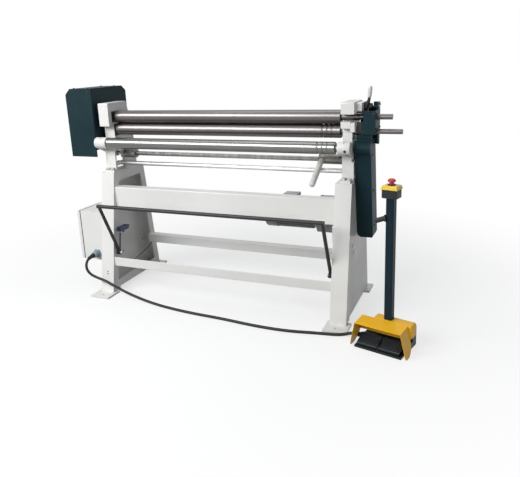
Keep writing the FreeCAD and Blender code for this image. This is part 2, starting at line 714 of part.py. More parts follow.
pivot = (num(D.pivot_y), num(D.pivot_z))
nose = (num(D.bend_y), num(D.bend_z))
for label, outer_x, plate_x, boss_x, end_x in (("bending_arm_left", -724, -714, -652, -700),
                                               ("bending_arm_right", 722, 714.5, 663, 698)):
    arm = hull_plate(pivot, 18, nose, 30.5, min(outer_x, plate_x), max(outer_x, plate_x))
    arm = fused([arm, rod(30.5, (outer_x, *nose), (boss_x, *nose)), rod(18, (outer_x, *pivot), (end_x, *pivot))])
    inner_end = 5 if outer_x < 0 else -5
    arm = arm.cut(rod(num(D.running_fit) + 15, (outer_x + inner_end, *nose), (boss_x, *nose)))
    arm = arm.cut(rod(D.shaft_radius, (outer_x, *pivot), (end_x, *pivot)))
    made(label, arm)

grip_start = V(547, 50, 800)
grip_dir = V(0, -203, -111).normalize()


def on_grip(distance):
    return grip_start + grip_dir * distance


shaft_hole = rod(D.shaft_radius, (-700, *pivot), (700, *pivot))
left_collar = rod(25, (-645, *pivot), (-567, *pivot))
made("left_collar", left_collar.cut(shaft_hole))

root = rod(9, on_grip(22), on_grip(62))
socket = fused([rod(25, (528, *pivot), (664, *pivot)), rod(15, on_grip(18), on_grip(36))])
made("lever_collar", socket.cut(fused([shaft_hole, root])))
grip = fused([root, rod(13.5, on_grip(50), on_grip(231))])
made("hand_lever", grip)

# Drive: motor, gear unit on its plate, shaft, sprockets and chain.
gearbox_plate = new_body("gearbox_plate")
pad(gearbox_plate, "YZ", [[(-104, 400), (190, 400), (190, 600), (-34, 600), (-34, 481), (-104, 481)],
                          ((D.drive_y, D.drive_z), 24)], 633, D.stand_inner)
place(gearbox_plate)

gearbox = new_body("gearbox")
pad(gearbox, "YZ", [[(-30, 478), (-30, 560), (-12, 582), (110, 582), (146, 545), (146, 430),
                     (125, 408), (20, 408)]], 520, 633)
pad(gearbox, "YZ", [((D.motor_y, D.motor_z), 66)], 500, 520)
cut(gearbox, "YZ", [((D.drive_y, D.drive_z), D.drive_radius + D.running_fit)], 613, 633)
place(gearbox)

motor = new_body("motor_body")
pad(motor, "YZ", [((D.motor_y, D.motor_z), D.motor_radius - 12)], 300, 500)
fin = pad(motor, "YZ", [rect(D.motor_y - 2, D.motor_y + 2, D.motor_z + 50, D.motor_z + D.motor_radius)],
          304, 496)
fins = motor.newObject("PartDesign::PolarPattern", "motor_fins")
fins.Originals = [fin]
axis = sketch(motor, "YZ", [((0, 0), 1)], 0, (D.motor_y, D.motor_z))
fins.Axis = (axis, ["N_Axis"])
fins.Angle = 360
fins.Occurrences = 18
motor.Tip = fins
pad(motor, "XY", [rect(334, 402, 34, 102)], D.motor_z + 60, D.motor_z + D.motor_radius + 2)
pad(motor, "XY", [rect(330, 406, 30, 106)], D.motor_z + D.motor_radius + 2, 594)
place(motor)

cowl = new_body("fan_cowl")
pad(cowl, "YZ", [((D.motor_y, D.motor_z), D.motor_radius + 2)], 243, 300)
place(cowl)

flange_unit = new_body("output_bearing")
near, far = D.drive_y - 36, D.drive_y + 36
pad(flange_unit, "YZ", [rect(near, far, D.drive_z - 36, D.drive_z + 36),
                        ((D.drive_y, D.drive_z), D.drive_radius + D.running_fit)], D.stand_outer, 744)
dress(flange_unit, "Chamfer", "Size", 8, along(0, (near, D.drive_z - 36), (far, D.drive_z - 36),
                                                (near, D.drive_z + 36), (far, D.drive_z + 36)))
place(flange_unit)

drive_shaft = new_body("drive_shaft")
pad(drive_shaft, "YZ", [((D.drive_y, D.drive_z), D.drive_radius)], 615, 796)
place(drive_shaft)


def sprocket(label, y, z, bore):
    """A chain wheel with faceted tooth roots and a hub on its left side."""
    teeth, x = int(num(D.sprocket_teeth)), num(D.chain_x)
    y, z = num(y), num(z)
    corners = []
    for k in range(teeth):
        for lean, reach in ((-0.17, CHAIN_RADIUS - 5), (0.17, CHAIN_RADIUS - 5), (0.42, CHAIN_RADIUS + 4),
                            (0.58, CHAIN_RADIUS + 4)):
            a = 2 * math.pi * (k + lean) / teeth
            corners.append((y + reach * math.cos(a), z + reach * math.sin(a)))
    wheel = prism_yz(corners, x - 4.5, x + 4.5)
    hub = rod(bore + 8, (x - 17, y, z), (x - 4.5, y, z))
    return made(label, wheel.fuse(hub).cut(rod(bore, (x - 30, y, z), (x + 30, y, z))))


sprocket("drive_sprocket", D.drive_y, D.drive_z, num(D.drive_radius))
sprocket("roll_sprocket", 0, LOWER_Z, num(D.lower_stub))

axes = [(p.y, p.z) for p in (axis_low, axis_high)]
x, r = num(D.chain_x), CHAIN_RADIUS
bands = [hull_plate(axes[0], r + 7, axes[1], r + 7, a, b).cut(hull_plate(axes[0], r - 7, axes[1], r - 7, a, b))
         for a, b in ((x - 8.5, x - 5.5), (x + 5.5, x + 8.5))]
runs = [prism_yz([by_chain(580, side * r - 5), by_chain(870, side * r - 5), by_chain(870, side * r + 5),
                  by_chain(580, side * r + 5)], x - 5.5, x + 5.5) for side in (-1, 1)]
made("drive_chain", fused(bands + runs))

# Electrical cabinet on the left stand, with its door, lock, fittings and cable gland.
cabinet = new_body("electric_cabinet")
pad(cabinet, "YZ", [rect(D.cabinet_front, D.cabinet_rear, D.cabinet_low, D.cabinet_high)],
    -D.cabinet_outer, -D.stand_outer)
dress(cabinet, "Thickness", "Value", 2,
      lambda face: abs(face.CenterOfMass.x + num(D.cabinet_outer)) < 0.01, Reversed=True, Join=1)
pad(cabinet, "XZ", [rect(-D.cabinet_outer - 5, 8 - D.cabinet_outer, z, z + 18) for z in (200, 400)],
    D.cabinet_rear, D.cabinet_rear + 3)
pad(cabinet, "XY", [((-D.cabinet_outer - 9, D.cabinet_rear + 7), 6)], 200, 218)
pad(cabinet, "XY", [((-D.cabinet_outer - 9, D.cabinet_rear + 7), 6)], 400, 418)
pad(cabinet, "XY", [((-D.cabinet_outer - 9, D.cabinet_rear + 7), 3)], 218, 237)
pad(cabinet, "XY", [((-D.cabinet_outer - 9, D.cabinet_rear + 7), 3)], 418, 437)
place(cabinet)

hinge_x, hinge_y = -D.cabinet_outer - 9, D.cabinet_rear + 7
door = new_body("cabinet_door")
pad(door, "YZ", [rect(D.cabinet_front, D.cabinet_rear, D.cabinet_low, D.cabinet_high)],
    -D.cabinet_outer - 24, -D.cabinet_outer - 6)
dress(door, "Thickness", "Value", 2,
      lambda face: abs(face.CenterOfMass.x + num(D.cabinet_outer) + 6) < 0.01, Reversed=True, Join=1)
for z in (218.5, 418.5):
    pad(door, "XY", [rect(hinge_x - 6, hinge_x + 3, D.cabinet_rear - 1, hinge_y)], z, z + 17)
    pad(door, "XY", [((hinge_x, hinge_y), 6)], z, z + 17)
cut(door, "XY", [((hinge_x, hinge_y), 3.1)], 218.5, 436)
cut(door, "YZ", [((-84, 313), 8)], -D.cabinet_outer - 24, -D.cabinet_outer - 20)
place(door)

gasket = new_body("door_gasket")
pad(gasket, "YZ", [rect(D.cabinet_front, D.cabinet_rear, D.cabinet_low, D.cabinet_high),
                   rect(D.cabinet_front + 8, D.cabinet_rear - 8, D.cabinet_low + 8, D.cabinet_high - 8)],
    -D.cabinet_outer - 5.7, -D.cabinet_outer)
place(gasket)

lock = new_body("door_lock")
pad(lock, "YZ", [((-84, 313), 12)], -D.cabinet_outer - 30, -D.cabinet_outer - 24.2)
pad(lock, "YZ", [rect(-89.5, -78.5, 307.5, 318.5)], -D.cabinet_outer - 24.2, -D.cabinet_outer - 14)
pad(lock, "YZ", [rect(-102, -78, 307, 319)], -D.cabinet_outer - 14, -D.cabinet_outer - 11)
cut(lock, "YZ", [rect(-88, -80, 312, 314)], -D.cabinet_outer - 30, -D.cabinet_outer - 27)
place(lock)

fittings = new_body("cabinet_fittings")
back = -D.stand_outer - 2
pad(fittings, "YZ", [rect(-95, 78, 190, 436)], back - 2, back)
pad(fittings, "YZ", [rect(-80, 63, 356, 374), rect(-80, 63, 266, 284)], back - 9, back - 2)
blocks = [rect(-75 + 48 * k, -33 + 48 * k, 325, 405) for k in range(3)]
pad(fittings, "YZ", blocks, back - 75, back - 9)
pad(fittings, "YZ", [rect(-75 + 14 * k, -62.5 + 14 * k, 250, 300) for k in range(9)], back - 45, back - 9)
place(fittings)

gland = new_body("cable_gland")
gland_x, gland_z = -797, 206
pad(gland, "XZ", [hexagon(gland_x, gland_z, 46)], -125, D.cabinet_front)
pad(gland, "XZ", [hexagon(gland_x, gland_z, 38)], -150, -125)
cut(gland, "XZ", [((gland_x, gland_z), D.cable_radius)], -150, D.cabinet_front)
place(gland)

# Trip bar across the front, its pivots, and the switch that it works.
bar = (num(D.bar_y), num(D.bar_z))
low = (num(D.bar_pivot_y), num(D.bar_pivot_z))
frame = [rod(D.bar_radius, (-639.5, *bar), (639.5, *bar))]
for side in (-1, 1):
    frame.append(rod(9, (side * 630, *bar), (side * 630, *low)))
    frame.append(rod(14, (side * 619, *low), (side * 641, *low)))
frame.append(rod(4, (-630, -119, 230), (-630, -99, 343)))
holes = [rod(6.2, (side * 600, *low), (side * 645, *low)) for side in (-1, 1)]
made("trip_bar", fused(frame).cut(holes))

switch = new_body("limit_switch")
pad(switch, "YZ", [rect(-108, -34, 352, 376)], -643, -615)
pad(switch, "XZ", [hexagon(-629, 364, 13)], -122, -108)
pad(switch, "XZ", [hexagon(-629, 364, 17)], -34, -18)
pad(switch, "XY", [hexagon(-629, -68, 10)], 339, 352)
place(switch)


# Foot control, drawn in its own frame: x across, y to the back, z up.
UNIT = (D.unit_x, D.unit_y, 0)
unit_turn = D.unit_turn

pedal_base = new_body("pedal_base")
pad(pedal_base, "XY", [rect(-112, 112, -66, 104)], 0, 10)
pad(pedal_base, "XY", [rect(-112, 112, 10, 104)], 10, 30)
pad(pedal_base, "XY", [rect(-112, 112, 64, 104)], 30, 60)
pad(pedal_base, "YZ", [[(-10, 10), (-10, 40), (-4, 45), (4, 45), (10, 38), (10, 10)]], -112, -104)
pad(pedal_base, "YZ", [[(-10, 10), (-10, 40), (-4, 45), (4, 45), (10, 38), (10, 10)]], 104, 112)
pad(pedal_base, "YZ", [[(-10, 10), (-10, 40), (-4, 45), (4, 45), (10, 38), (10, 10)]], -3.5, 3.5)
pad(pedal_base, "YZ", [((0, 34), 4)], -104, 104)
pad(pedal_base, "YZ", [((14, 22), 12)], -122, -112)
cut(pedal_base, "YZ", [((14, 22), D.cable_radius)], -122, -112)
place(pedal_base, UNIT, unit_turn)

housing = new_body("pedal_housing")
pad(housing, "XY", [rect(-58, 124, 10, 64)], 30, D.housing_top)
dress(housing, "Chamfer", "Size", 5, along(2, (-58, 64), (124, 64), (124, 10)))
dress(housing, "Chamfer", "Size", 3, lambda e: abs(e.BoundBox.ZMin - num(D.housing_top)) < 0.01
      and abs(e.BoundBox.ZMax - num(D.housing_top)) < 0.01 and e.CenterOfMass.y > 11)
place(housing, UNIT, unit_turn)

# The hood is folded sheet: a sloping top, a back flange and two cheeks that spread to the floor.
top_z, back_z, sheet_t = 120, 129, num(D.sheet_wall)


def cheek(side):
    """A cheek plate from the top edge down to its rounded tip on the floor."""
    corners = [(-72, top_z), (10, back_z), (10, 72), (-6, 64), (-20, 50), (-32, 28), (-40, 9),
               (-46, 2), (-55, 0), (-62, 5), (-67, 30)]

    def spread(z):
        return side * (110 + 26 * (1 - z / top_z))
    face = Part.Face(Part.makePolygon([V(spread(z), y, z) for y, z in corners + corners[:1]]))
    return face.extrude(V(-side * sheet_t, 0, 0))


top = Part.Face(Part.makePolygon([V(-110, y, z) for y, z in
                                  ((-72, top_z), (10, back_z), (10, back_z - sheet_t),
                                   (-72, top_z - sheet_t), (-72, top_z))])).extrude(V(220, 0, 0))
flange = block(-110, 110, 10 - sheet_t, 10, 72, back_z - 1)
made("pedal_guard", fused([top, flange, cheek(-1), cheek(1)]), UNIT, unit_turn)

for label, x0, x1 in (("left_pedal", -101, -5), ("right_pedal", 5, 101)):
    pedal = new_body(label)
    pad(pedal, "YZ", [[(-64, 18), (-64, 25), (-62, 28), (-6, 50), (2, 50), (6, 44), (-4, 30),
                       (-12, 36), (-58, 18)]], x0, x1)
    pad(pedal, "YZ", [((0, 34), 8)], x0, x1)
    cut(pedal, "YZ", [((0, 34), 4.05)], x0, x1)
    ridge = cut(pedal, "YZ", [[(-57.5, 31.5), (-54, 28), (-51, 34)]], x0 + 8, x1 - 8)
    place(pedal, UNIT, unit_turn)

post_x, post_y = 9, 36
wide = num(D.post_width) / 2
post = new_body("pedestal_post")
pad(post, "XY", [rect(post_x - wide, post_x + wide, post_y - wide, post_y + wide),
                 rect(post_x - wide + 3, post_x + wide - 3, post_y - wide + 3, post_y + wide - 3)],
    D.housing_top, D.post_top)
dress(post, "Fillet", "Radius", 5, along(2, (post_x - wide, post_y - wide), (post_x + wide, post_y - wide),
                                         (post_x - wide, post_y + wide), (post_x + wide, post_y + wide)))
place(post, UNIT, unit_turn)

estop_box = new_body("estop_box")
pad(estop_box, "XY", [rect(post_x - 35, post_x + 35, post_y - 29, post_y + 29)], D.post_top, D.post_top + 37)
dress(estop_box, "Chamfer", "Size", 6, along(2))
cut(estop_box, "XY", [((post_x, post_y), 12)], D.post_top + 20, D.post_top + 37)
place(estop_box, UNIT, unit_turn)

estop_cover = new_body("estop_cover")
pad(estop_cover, "XY", [rect(post_x - 35, post_x + 35, post_y - 29, post_y + 29)],
    D.post_top + 37, D.post_top + 54)
dress(estop_cover, "Chamfer", "Size", 6, along(2))
dress(estop_cover, "Chamfer", "Size", 4, lambda e: abs(e.BoundBox.ZMin - num(D.post_top) - 54) < 0.01)
cut(estop_cover, "XY", [((post_x, post_y), 11)], D.post_top + 37, D.post_top + 54)
place(estop_cover, UNIT, unit_turn)

button = new_body("estop_button")
z = D.post_top
turn(button, "XZ", "V", [(0, 26), (10, 26), (10, 68), (18.5, 68), (18.5, 79), (14, 86), (0, 86)],
     (post_x, z), level=post_y)
place(button, UNIT, unit_turn)

handle_dir = V(-32, -6, -12).normalize()
side_x = post_x - wide
hold = V(side_x - 2, 22, 600)
handle = fused([rod(11, hold, hold + handle_dir * 46), block(side_x - 6, side_x, 20, 52, 584, 612)])
handle = handle.cut(block(side_x, 60, 0, 80, 500, 700))
made("post_handle", handle, UNIT, unit_turn)

# Foot control cable: straight runs joined by tangent arcs, along points chosen by hand.
ROUTE = [(-797, -150, 206), (-799, -184, 204), (-802, -214, 184), (-797, -226, 148),
         (-776, -222, 116), (-740, -214, 97), (-690, -210, 84), (-626, -220, 66),
         (-540, -226, 37), (-420, -240, 13), (-280, -272, 8), (-90, -300, 8), (110, -310, 8),
         (300, -333, 8), (470, -334, 8), (600, -311, 8), (700, -298, 8)]
LAST = [(-198, -5, 9), (-160, 13.8, 21.5), (-122, 14, 22)]


def world(point):
    """A point of the foot control's frame in the frame that the machine is drawn in."""
    a = math.radians(num(D.unit_turn))
    x, y, z = point
    return (num(D.unit_x) + x * math.cos(a) - y * math.sin(a),
            num(D.unit_y) + x * math.sin(a) + y * math.cos(a), z)


def cord_path(points):
    """Lines and tangent arcs through the corner points, with the arcs' radii."""
    corners = [V(*p) for p in points]
    edges, radii, start = [], [], corners[0]
    for before, corner, after in zip(corners, corners[1:], corners[2:]):
        into, out = corner - before, after - corner
        turned = into.getAngle(out)
        short = 0.45 * min(into.Length, out.Length)
        radius = short / math.tan(turned / 2)
        a = corner - V(into).normalize() * short
        b = corner + V(out).normalize() * short
        towards = (V(out).normalize() - V(into).normalize()).normalize()
        middle = corner + towards * (math.hypot(radius, short) - radius)
        edges.append(Part.LineSegment(start, a).toShape())
        edges.append(Part.Arc(a, middle, b).toShape())
        radii.append(radius)
        start = b
    edges.append(Part.LineSegment(start, corners[-1]).toShape())
    return Part.Wire(edges), radii


path, radii = cord_path(ROUTE + [world(p) for p in LAST])
ends = path.OrderedVertexes[0].Point
heading = path.OrderedEdges[0].tangentAt(path.OrderedEdges[0].FirstParameter)
disc = Part.Face(Part.Wire(Part.makeCircle(num(D.cable_radius), ends, heading)))
pedal_cable = path.makePipe(disc)
print("cable radii", [round(r) for r in radii])
print("cable length", round(path.Length), "volume ratio",
      round(pedal_cable.Volume / (path.Length * math.pi * num(D.cable_radius) ** 2), 4))
made("pedal_cable", pedal_cable)

# Every object must have rebuilt, and every sub-part must be a sound solid, before any file is written.
doc.recompute()
for obj in doc.Objects:
    state = " ".join(obj.State)
    if "Invalid" in state or "Error" in state:
        raise RuntimeError("%s failed to rebuild: %s" % (obj.Name, state))
    if obj.TypeId in ("PartDesign::Pocket", "PartDesign::Groove"):
        if obj.Shape.Volume > obj.BaseFeature.Shape.Volume - 1:
            raise RuntimeError("%s removed nothing" % obj.Name)
labels = [obj.Label for obj in nodes]
if len(set(labels)) != len(labels):
    raise RuntimeError("two sub-parts share a name")
for obj in nodes:
    if obj.Shape.isNull() or not obj.Shape.isValid() or obj.Shape.Volume <= 0:
        raise RuntimeError("%s is not a sound solid" % obj.Label)

os.makedirs("parts", exist_ok=True)
for obj in nodes:
    obj.Shape.exportStep("parts/%s.step" % obj.Label)
print(len(nodes), "sub-parts written")
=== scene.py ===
# %% [markdown]
# # A plate rolling machine, dressed for a studio picture
#
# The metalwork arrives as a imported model, already the right size and in the right place.  This
# notebook gives every piece its finish, adds the small pieces that the model leaves out, and
# lights the whole thing.  Lengths are in metres: X runs along the rolls, Y points from the
# operator to the back, and Z is up.

# %% Load the machine
import math

import bmesh
import bpy
from mathutils import Matrix, Vector


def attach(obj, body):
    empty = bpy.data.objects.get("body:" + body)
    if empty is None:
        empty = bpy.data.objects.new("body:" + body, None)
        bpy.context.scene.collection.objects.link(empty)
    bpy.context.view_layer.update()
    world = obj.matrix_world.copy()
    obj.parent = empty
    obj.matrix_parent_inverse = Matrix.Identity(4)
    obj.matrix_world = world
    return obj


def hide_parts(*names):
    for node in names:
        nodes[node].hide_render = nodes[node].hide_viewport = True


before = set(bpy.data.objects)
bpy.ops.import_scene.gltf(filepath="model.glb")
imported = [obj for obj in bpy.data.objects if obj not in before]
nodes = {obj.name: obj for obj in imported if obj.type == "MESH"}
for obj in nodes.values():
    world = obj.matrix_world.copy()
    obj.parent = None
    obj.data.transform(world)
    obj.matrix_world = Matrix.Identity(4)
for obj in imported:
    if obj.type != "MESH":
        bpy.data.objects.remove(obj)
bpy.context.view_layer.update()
scene = bpy.context.scene

# %% [markdown]
# ## The camera
#
# Place, direction and lens were worked out from known lengths on the machine: the rolls are
# 1270 mm long and 68 mm thick.  The small shift slides the picture without turning the camera.

# %% Camera
CAMERA_PLACE = Vector((1.3453, -2.7193, 1.2889))
YAW, PITCH, ROLL = (math.radians(a) for a in (23.22, -14.74, -2.38))
LENS_MM, SENSOR_MM = 39.29, 36.0
SHIFT = (0.0048, -0.0604)


def camera_axes(yaw, pitch, roll):
    """Right, up and forward for a camera that looks along +Y, turned by three angles."""
    forward = Vector((-math.sin(yaw) * math.cos(pitch), math.cos(yaw) * math.cos(pitch),
                      math.sin(pitch)))
    right = Vector((math.cos(yaw), math.sin(yaw), 0))
    up = right.cross(forward)
    turned_right = right * math.cos(roll) + up * math.sin(roll)
    turned_up = up * math.cos(roll) - right * math.sin(roll)
    return turned_right, turned_up, forward


right, up, forward = camera_axes(YAW, PITCH, ROLL)
camera_data = bpy.data.cameras.new("camera")
camera_data.lens, camera_data.sensor_width = LENS_MM, SENSOR_MM
camera_data.shift_x, camera_data.shift_y = SHIFT
camera = bpy.data.objects.new("camera", camera_data)
facing = Matrix((right, up, -forward)).transposed().to_4x4()
camera.matrix_world = Matrix.Translation(CAMERA_PLACE) @ facing
scene.collection.objects.link(camera)
scene.camera = camera
print("camera at", [round(v, 3) for v in CAMERA_PLACE], "lens", LENS_MM, "mm")

# %% [markdown]
# ## The foot control's cable
#
# One black rubber cable leaves the gland under the cabinet, drops in front of the left foot,
# lies across the floor in a long lazy curve and ends in the foot control.  A NURBS curve with a
# round bevel suits it: a few control points say where it goes, and every bend stays soft.  The
# same points guide the solid model, the last three in the foot control's own turned frame.

# %% Cable route
DRAWN_FROM = Vector((0, -0.045, 0))
CABLE_RADIUS, CABLE_LENGTH = 0.0075, 1.767
ROUND_STEPS, BEND_STEPS = 5, 10
UNIT_PLACE, UNIT_TURN = Vector((0.930, -0.375, 0)), math.radians(-14.5)
ROUTE_MM = [(-797, -150, 206), (-799, -184, 204), (-802, -214, 184), (-797, -226, 148),
            (-776, -222, 116), (-740, -214, 97), (-690, -210, 84), (-626, -220, 66),
            (-540, -226, 37), (-420, -240, 13), (-280, -272, 8), (-90, -300, 8),
            (110, -310, 8), (300, -333, 8), (470, -334, 8), (600, -311, 8), (700, -298, 8)]
LAST_MM = [(-198, -5, 9), (-160, 13.8, 21.5), (-122, 14, 22)]
UNIT = Matrix.Translation(UNIT_PLACE) @ Matrix.Rotation(UNIT_TURN, 4, "Z")


def mm(x, y, z):
    """A point in millimetres in the frame that the machine was drawn in, as metres here."""
    return Vector((x, y, z)) / 1000 + DRAWN_FROM


def on_unit(x, y, z):
    """A point in millimetres in the foot control's own frame, as metres here."""
    return UNIT @ (Vector((x, y, z)) / 1000)


route = [mm(*p) for p in ROUTE_MM] + [on_unit(*p) for p in LAST_MM]


def nurbs(name, points, radius):
    """A round cable: its bevel of one metre is scaled by the radius of each control point."""
    data = bpy.data.curves.new(name, "CURVE")
    data.dimensions = "3D"
    data.bevel_depth = 1.0 if radius else 0.0
    data.bevel_resolution, data.resolution_u = ROUND_STEPS, BEND_STEPS
    data.use_fill_caps = True
    spline = data.splines.new("NURBS")
    spline.points.add(len(points) - 1)
    for target, point in zip(spline.points, points):
        target.co, target.radius = (*point, 1), radius
    spline.order_u = 3
    spline.use_endpoint_u = True
    obj = bpy.data.objects.new(name, data)
    scene.collection.objects.link(obj)
    return obj


cable = nurbs("foot_control_cable", route, CABLE_RADIUS)
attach(cable, "frame")
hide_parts("pedal_cable")
print("cable with", len(route), "control points")

# %% [markdown]
# ## The studio
#
# The floor is plain and nearly white, and far from the machine it turns into the white of the
# backdrop, so there is no horizon.  The fade only applies where the camera or a reflection looks
# at the floor; light bouncing off it is left alone, and the machine still casts a soft shadow.

# %% Floor and backdrop


def fresh_tree(owner):
    """The emptied node tree of a material or a world."""
    owner.use_nodes = True
    owner.node_tree.nodes.clear()
    return owner.node_tree


def add(tree, kind, inputs=None, **settings):
    """A node with some of its sockets and settings filled in."""
    node = tree.nodes.new("ShaderNode" + kind)
    for name, value in settings.items():
        setattr(node, name, value)
    for name, value in (inputs or {}).items():
        if isinstance(value, bpy.types.NodeSocket):
            tree.links.new(value, node.inputs[name])
        else:
            node.inputs[name].default_value = value
    return node


def ranged(tree, value, low, high, start=0.0, end=1.0, **settings):
    """A value moved from the range low to high into the range start to end."""
    return add(tree, "MapRange", {"Value": value, "From Min": low, "From Max": high,
                                  "To Min": start, "To Max": end}, **settings).outputs[0]


def blend(tree, share, first, second):
    """Two colours mixed by a share."""
    return add(tree, "Mix", {0: share, 6: first, 7: second}, data_type="RGBA").outputs[2]


def maths(tree, operation, first, second):
    """One step of arithmetic."""
    return add(tree, "Math", {0: first, 1: second}, operation=operation).outputs[0]


def seen_directly(tree):
    """1 for rays from the camera, from glossy surfaces and through glass, else 0."""
    path = add(tree, "LightPath")
    some = maths(tree, "MAXIMUM", path.outputs["Is Camera Ray"], path.outputs["Is Glossy Ray"])
    return maths(tree, "MAXIMUM", some, path.outputs["Is Transmission Ray"])


FLOOR_HALF = 30.0
SHOWN_GREY, LIT_GREY, WHITE = (0.92, 0.92, 0.92, 1), (0.26, 0.26, 0.26, 1), (1, 1, 1, 1)
FADE_FROM, FADE_TO, FADE_START = 0.6, 2.4, 0.65
floor_mesh = bpy.data.meshes.new("studio_floor")
square = [(x * FLOOR_HALF, y * FLOOR_HALF, 0) for x, y in ((-1, -1), (1, -1), (1, 1), (-1, 1))]
floor_mesh.from_pydata(square, [], [(0, 1, 2, 3)])
floor = bpy.data.objects.new("studio_floor", floor_mesh)
scene.collection.objects.link(floor)

floor_paint = bpy.data.materials.new("studio_floor")
tree = fresh_tree(floor_paint)
near = add(tree, "BsdfDiffuse", {"Color": blend(tree, seen_directly(tree), LIT_GREY, SHOWN_GREY)})
far = add(tree, "Emission", {"Color": WHITE, "Strength": 1.0})
where = add(tree, "NewGeometry")
distance = add(tree, "VectorMath", {0: where.outputs["Position"]}, operation="LENGTH")
fade = ranged(tree, distance.outputs["Value"], FADE_FROM, FADE_TO, FADE_START,
              interpolation_type="SMOOTHSTEP")
shown_fade = maths(tree, "MULTIPLY", fade, seen_directly(tree))
mixed = add(tree, "MixShader", {0: shown_fade, 1: near.outputs[0], 2: far.outputs[0]})
add(tree, "OutputMaterial", {"Surface": mixed.outputs[0]})
floor_mesh.materials.append(floor_paint)
print("floor", 2 * FLOOR_HALF, "m across, fading to white")

# %% World
AMBIENT, AMBIENT_TINT = 0.17, (0.82, 0.92, 1.0, 1)
world = bpy.data.worlds.new("studio")
scene.world = world
tree = fresh_tree(world)
soft = add(tree, "Background", {"Color": AMBIENT_TINT, "Strength": AMBIENT})
plain = add(tree, "Background", {"Color": WHITE, "Strength": 1.0})
mixed = add(tree, "MixShader", {0: seen_directly(tree), 1: soft.outputs[0], 2: plain.outputs[0]})
add(tree, "OutputWorld", {"Surface": mixed.outputs[0]})
print("ambient light", AMBIENT)

# %% [markdown]
# ## Light
#
# Faces towards the camera are bright, side faces fall to a mid grey and the undersides are dark.
# One big soft lamp above and in front does that.  A weaker one overhead gives the tops of the
# rolls their long highlight, and a small one at the right lifts the foot control out of the shadow.

# %% Lamps


def soft_lamp(name, place, target, size, watts):
    """A rectangular area lamp that faces a target."""
    data = bpy.data.lights.new(name, "AREA")
    data.shape, data.size, data.size_y, data.energy = "RECTANGLE", *size, watts
    lamp = bpy.data.objects.new(name, data)
    lamp.location = place
    lamp.rotation_euler = (Vector(target) - Vector(place)).to_track_quat("-Z", "Y").to_euler()
    scene.collection.objects.link(lamp)


soft_lamp("front_lamp", (-1.7, -3.1, 2.7), (0, 0, 0.6), (3.4, 1.7), 182)
soft_lamp("top_lamp", (-0.2, 0.4, 3.4), (0, 0, 0.5), (3.2, 1.2), 26)
soft_lamp("side_lamp", (2.3, -1.7, 0.9), (0.95, -0.4, 0.06), (0.5, 0.5), 8)
scene.view_settings.view_transform = "Standard"
print("three lamps")

# %% [markdown]
# ## Finishes
#
# No painted or machined surface has one flat colour.  Each finish below mixes two close colours
# with noise, lets the gloss wander a little and adds fine relief, all measured in metres on the
# object.  The stretch value squeezes the noise along an axis, for stains along a roll or the
# rings that a lathe leaves round a shaft.

# %% A finish from noise
COLOUR_SPREAD, GLOSS_SPREAD, FLECK_SPREAD = (0.35, 0.65), (0.3, 0.7), (0.55, 0.75)


def finish(name, colours, spots, rough, relief, metal=0.0, stretch=(1, 1, 1), gloss=0.5,
           worn=None, grain=None):
    """Two colours mixed by noise, wandering roughness, fine relief and, if asked, worn edges."""
    material = bpy.data.materials.new(name)
    tree = fresh_tree(material)
    where = add(tree, "TexCoord")
    squeezed = add(tree, "Mapping", {"Vector": where.outputs["Object"], "Scale": stretch}).outputs[0]
    broad = add(tree, "TexNoise", {"Vector": squeezed, "Scale": spots, "Detail": 6.0,
                                   "Roughness": 0.6}).outputs["Fac"]
    height, scale = relief
    fine = add(tree, "TexNoise", {"Vector": squeezed, "Scale": scale, "Detail": 3.0}).outputs["Fac"]
    colour = blend(tree, ranged(tree, broad, *COLOUR_SPREAD), (*colours[0], 1), (*colours[1], 1))
    if grain:
        colour = blend(tree, ranged(tree, fine, *FLECK_SPREAD), colour, (*grain, 1))
    if worn:
        colour = worn_edges(tree, colour, worn)
    bump = add(tree, "Bump", {"Height": fine, "Distance": height, "Strength": 1.0})
    shader = add(tree, "BsdfPrincipled", {
        "Base Color": colour, "Metallic": metal, "Specular IOR Level": gloss,
        "Roughness": ranged(tree, broad, *GLOSS_SPREAD, *rough), "Normal": bump.outputs[0]})
    add(tree, "OutputMaterial", {"Surface": shader.outputs[0]})
    return material


print("finish helper ready")

# %% [markdown]
# Paint wears first where a hand, a shoe or a steel sheet rubs it: on the edges.  An edge is where
# a rounded normal and the flat normal disagree, and broken noise keeps the wear from becoming a
# neat outline.

# %% Worn edges
CHIP_SCALE, CHIP_SPREAD, BEND_SPREAD = 90.0, (0.48, 0.62), (0.99, 0.86)


def worn_edges(tree, colour, worn):
    """Mixes a worn colour in where the surface bends sharply."""
    tint, reach, amount = worn
    rounded = add(tree, "Bevel", {"Radius": reach}, samples=4)
    flat = add(tree, "NewGeometry")
    same = add(tree, "VectorMath", {0: rounded.outputs[0], 1: flat.outputs["Normal"]},
               operation="DOT_PRODUCT")
    where = add(tree, "TexCoord")
    broken = add(tree, "TexNoise", {"Vector": where.outputs["Object"], "Scale": CHIP_SCALE,
                                    "Detail": 5.0})
    bend = ranged(tree, same.outputs["Value"], *BEND_SPREAD)
    chips = ranged(tree, broken.outputs["Fac"], *CHIP_SPREAD, 0.0, amount)
    return blend(tree, maths(tree, "MULTIPLY", bend, chips), colour, (*tint, 1))


print("edge wear helper ready")

# %% [markdown]
# Paints first.  The frame is cream enamel over sheet steel, with a hint of orange peel.  The
# heads and arms carry the same enamel over sand castings, so the relief is coarser.  The covers
# are a dark blue-green textured coat with a fine pebble, and the foot guard is glossy yellow.

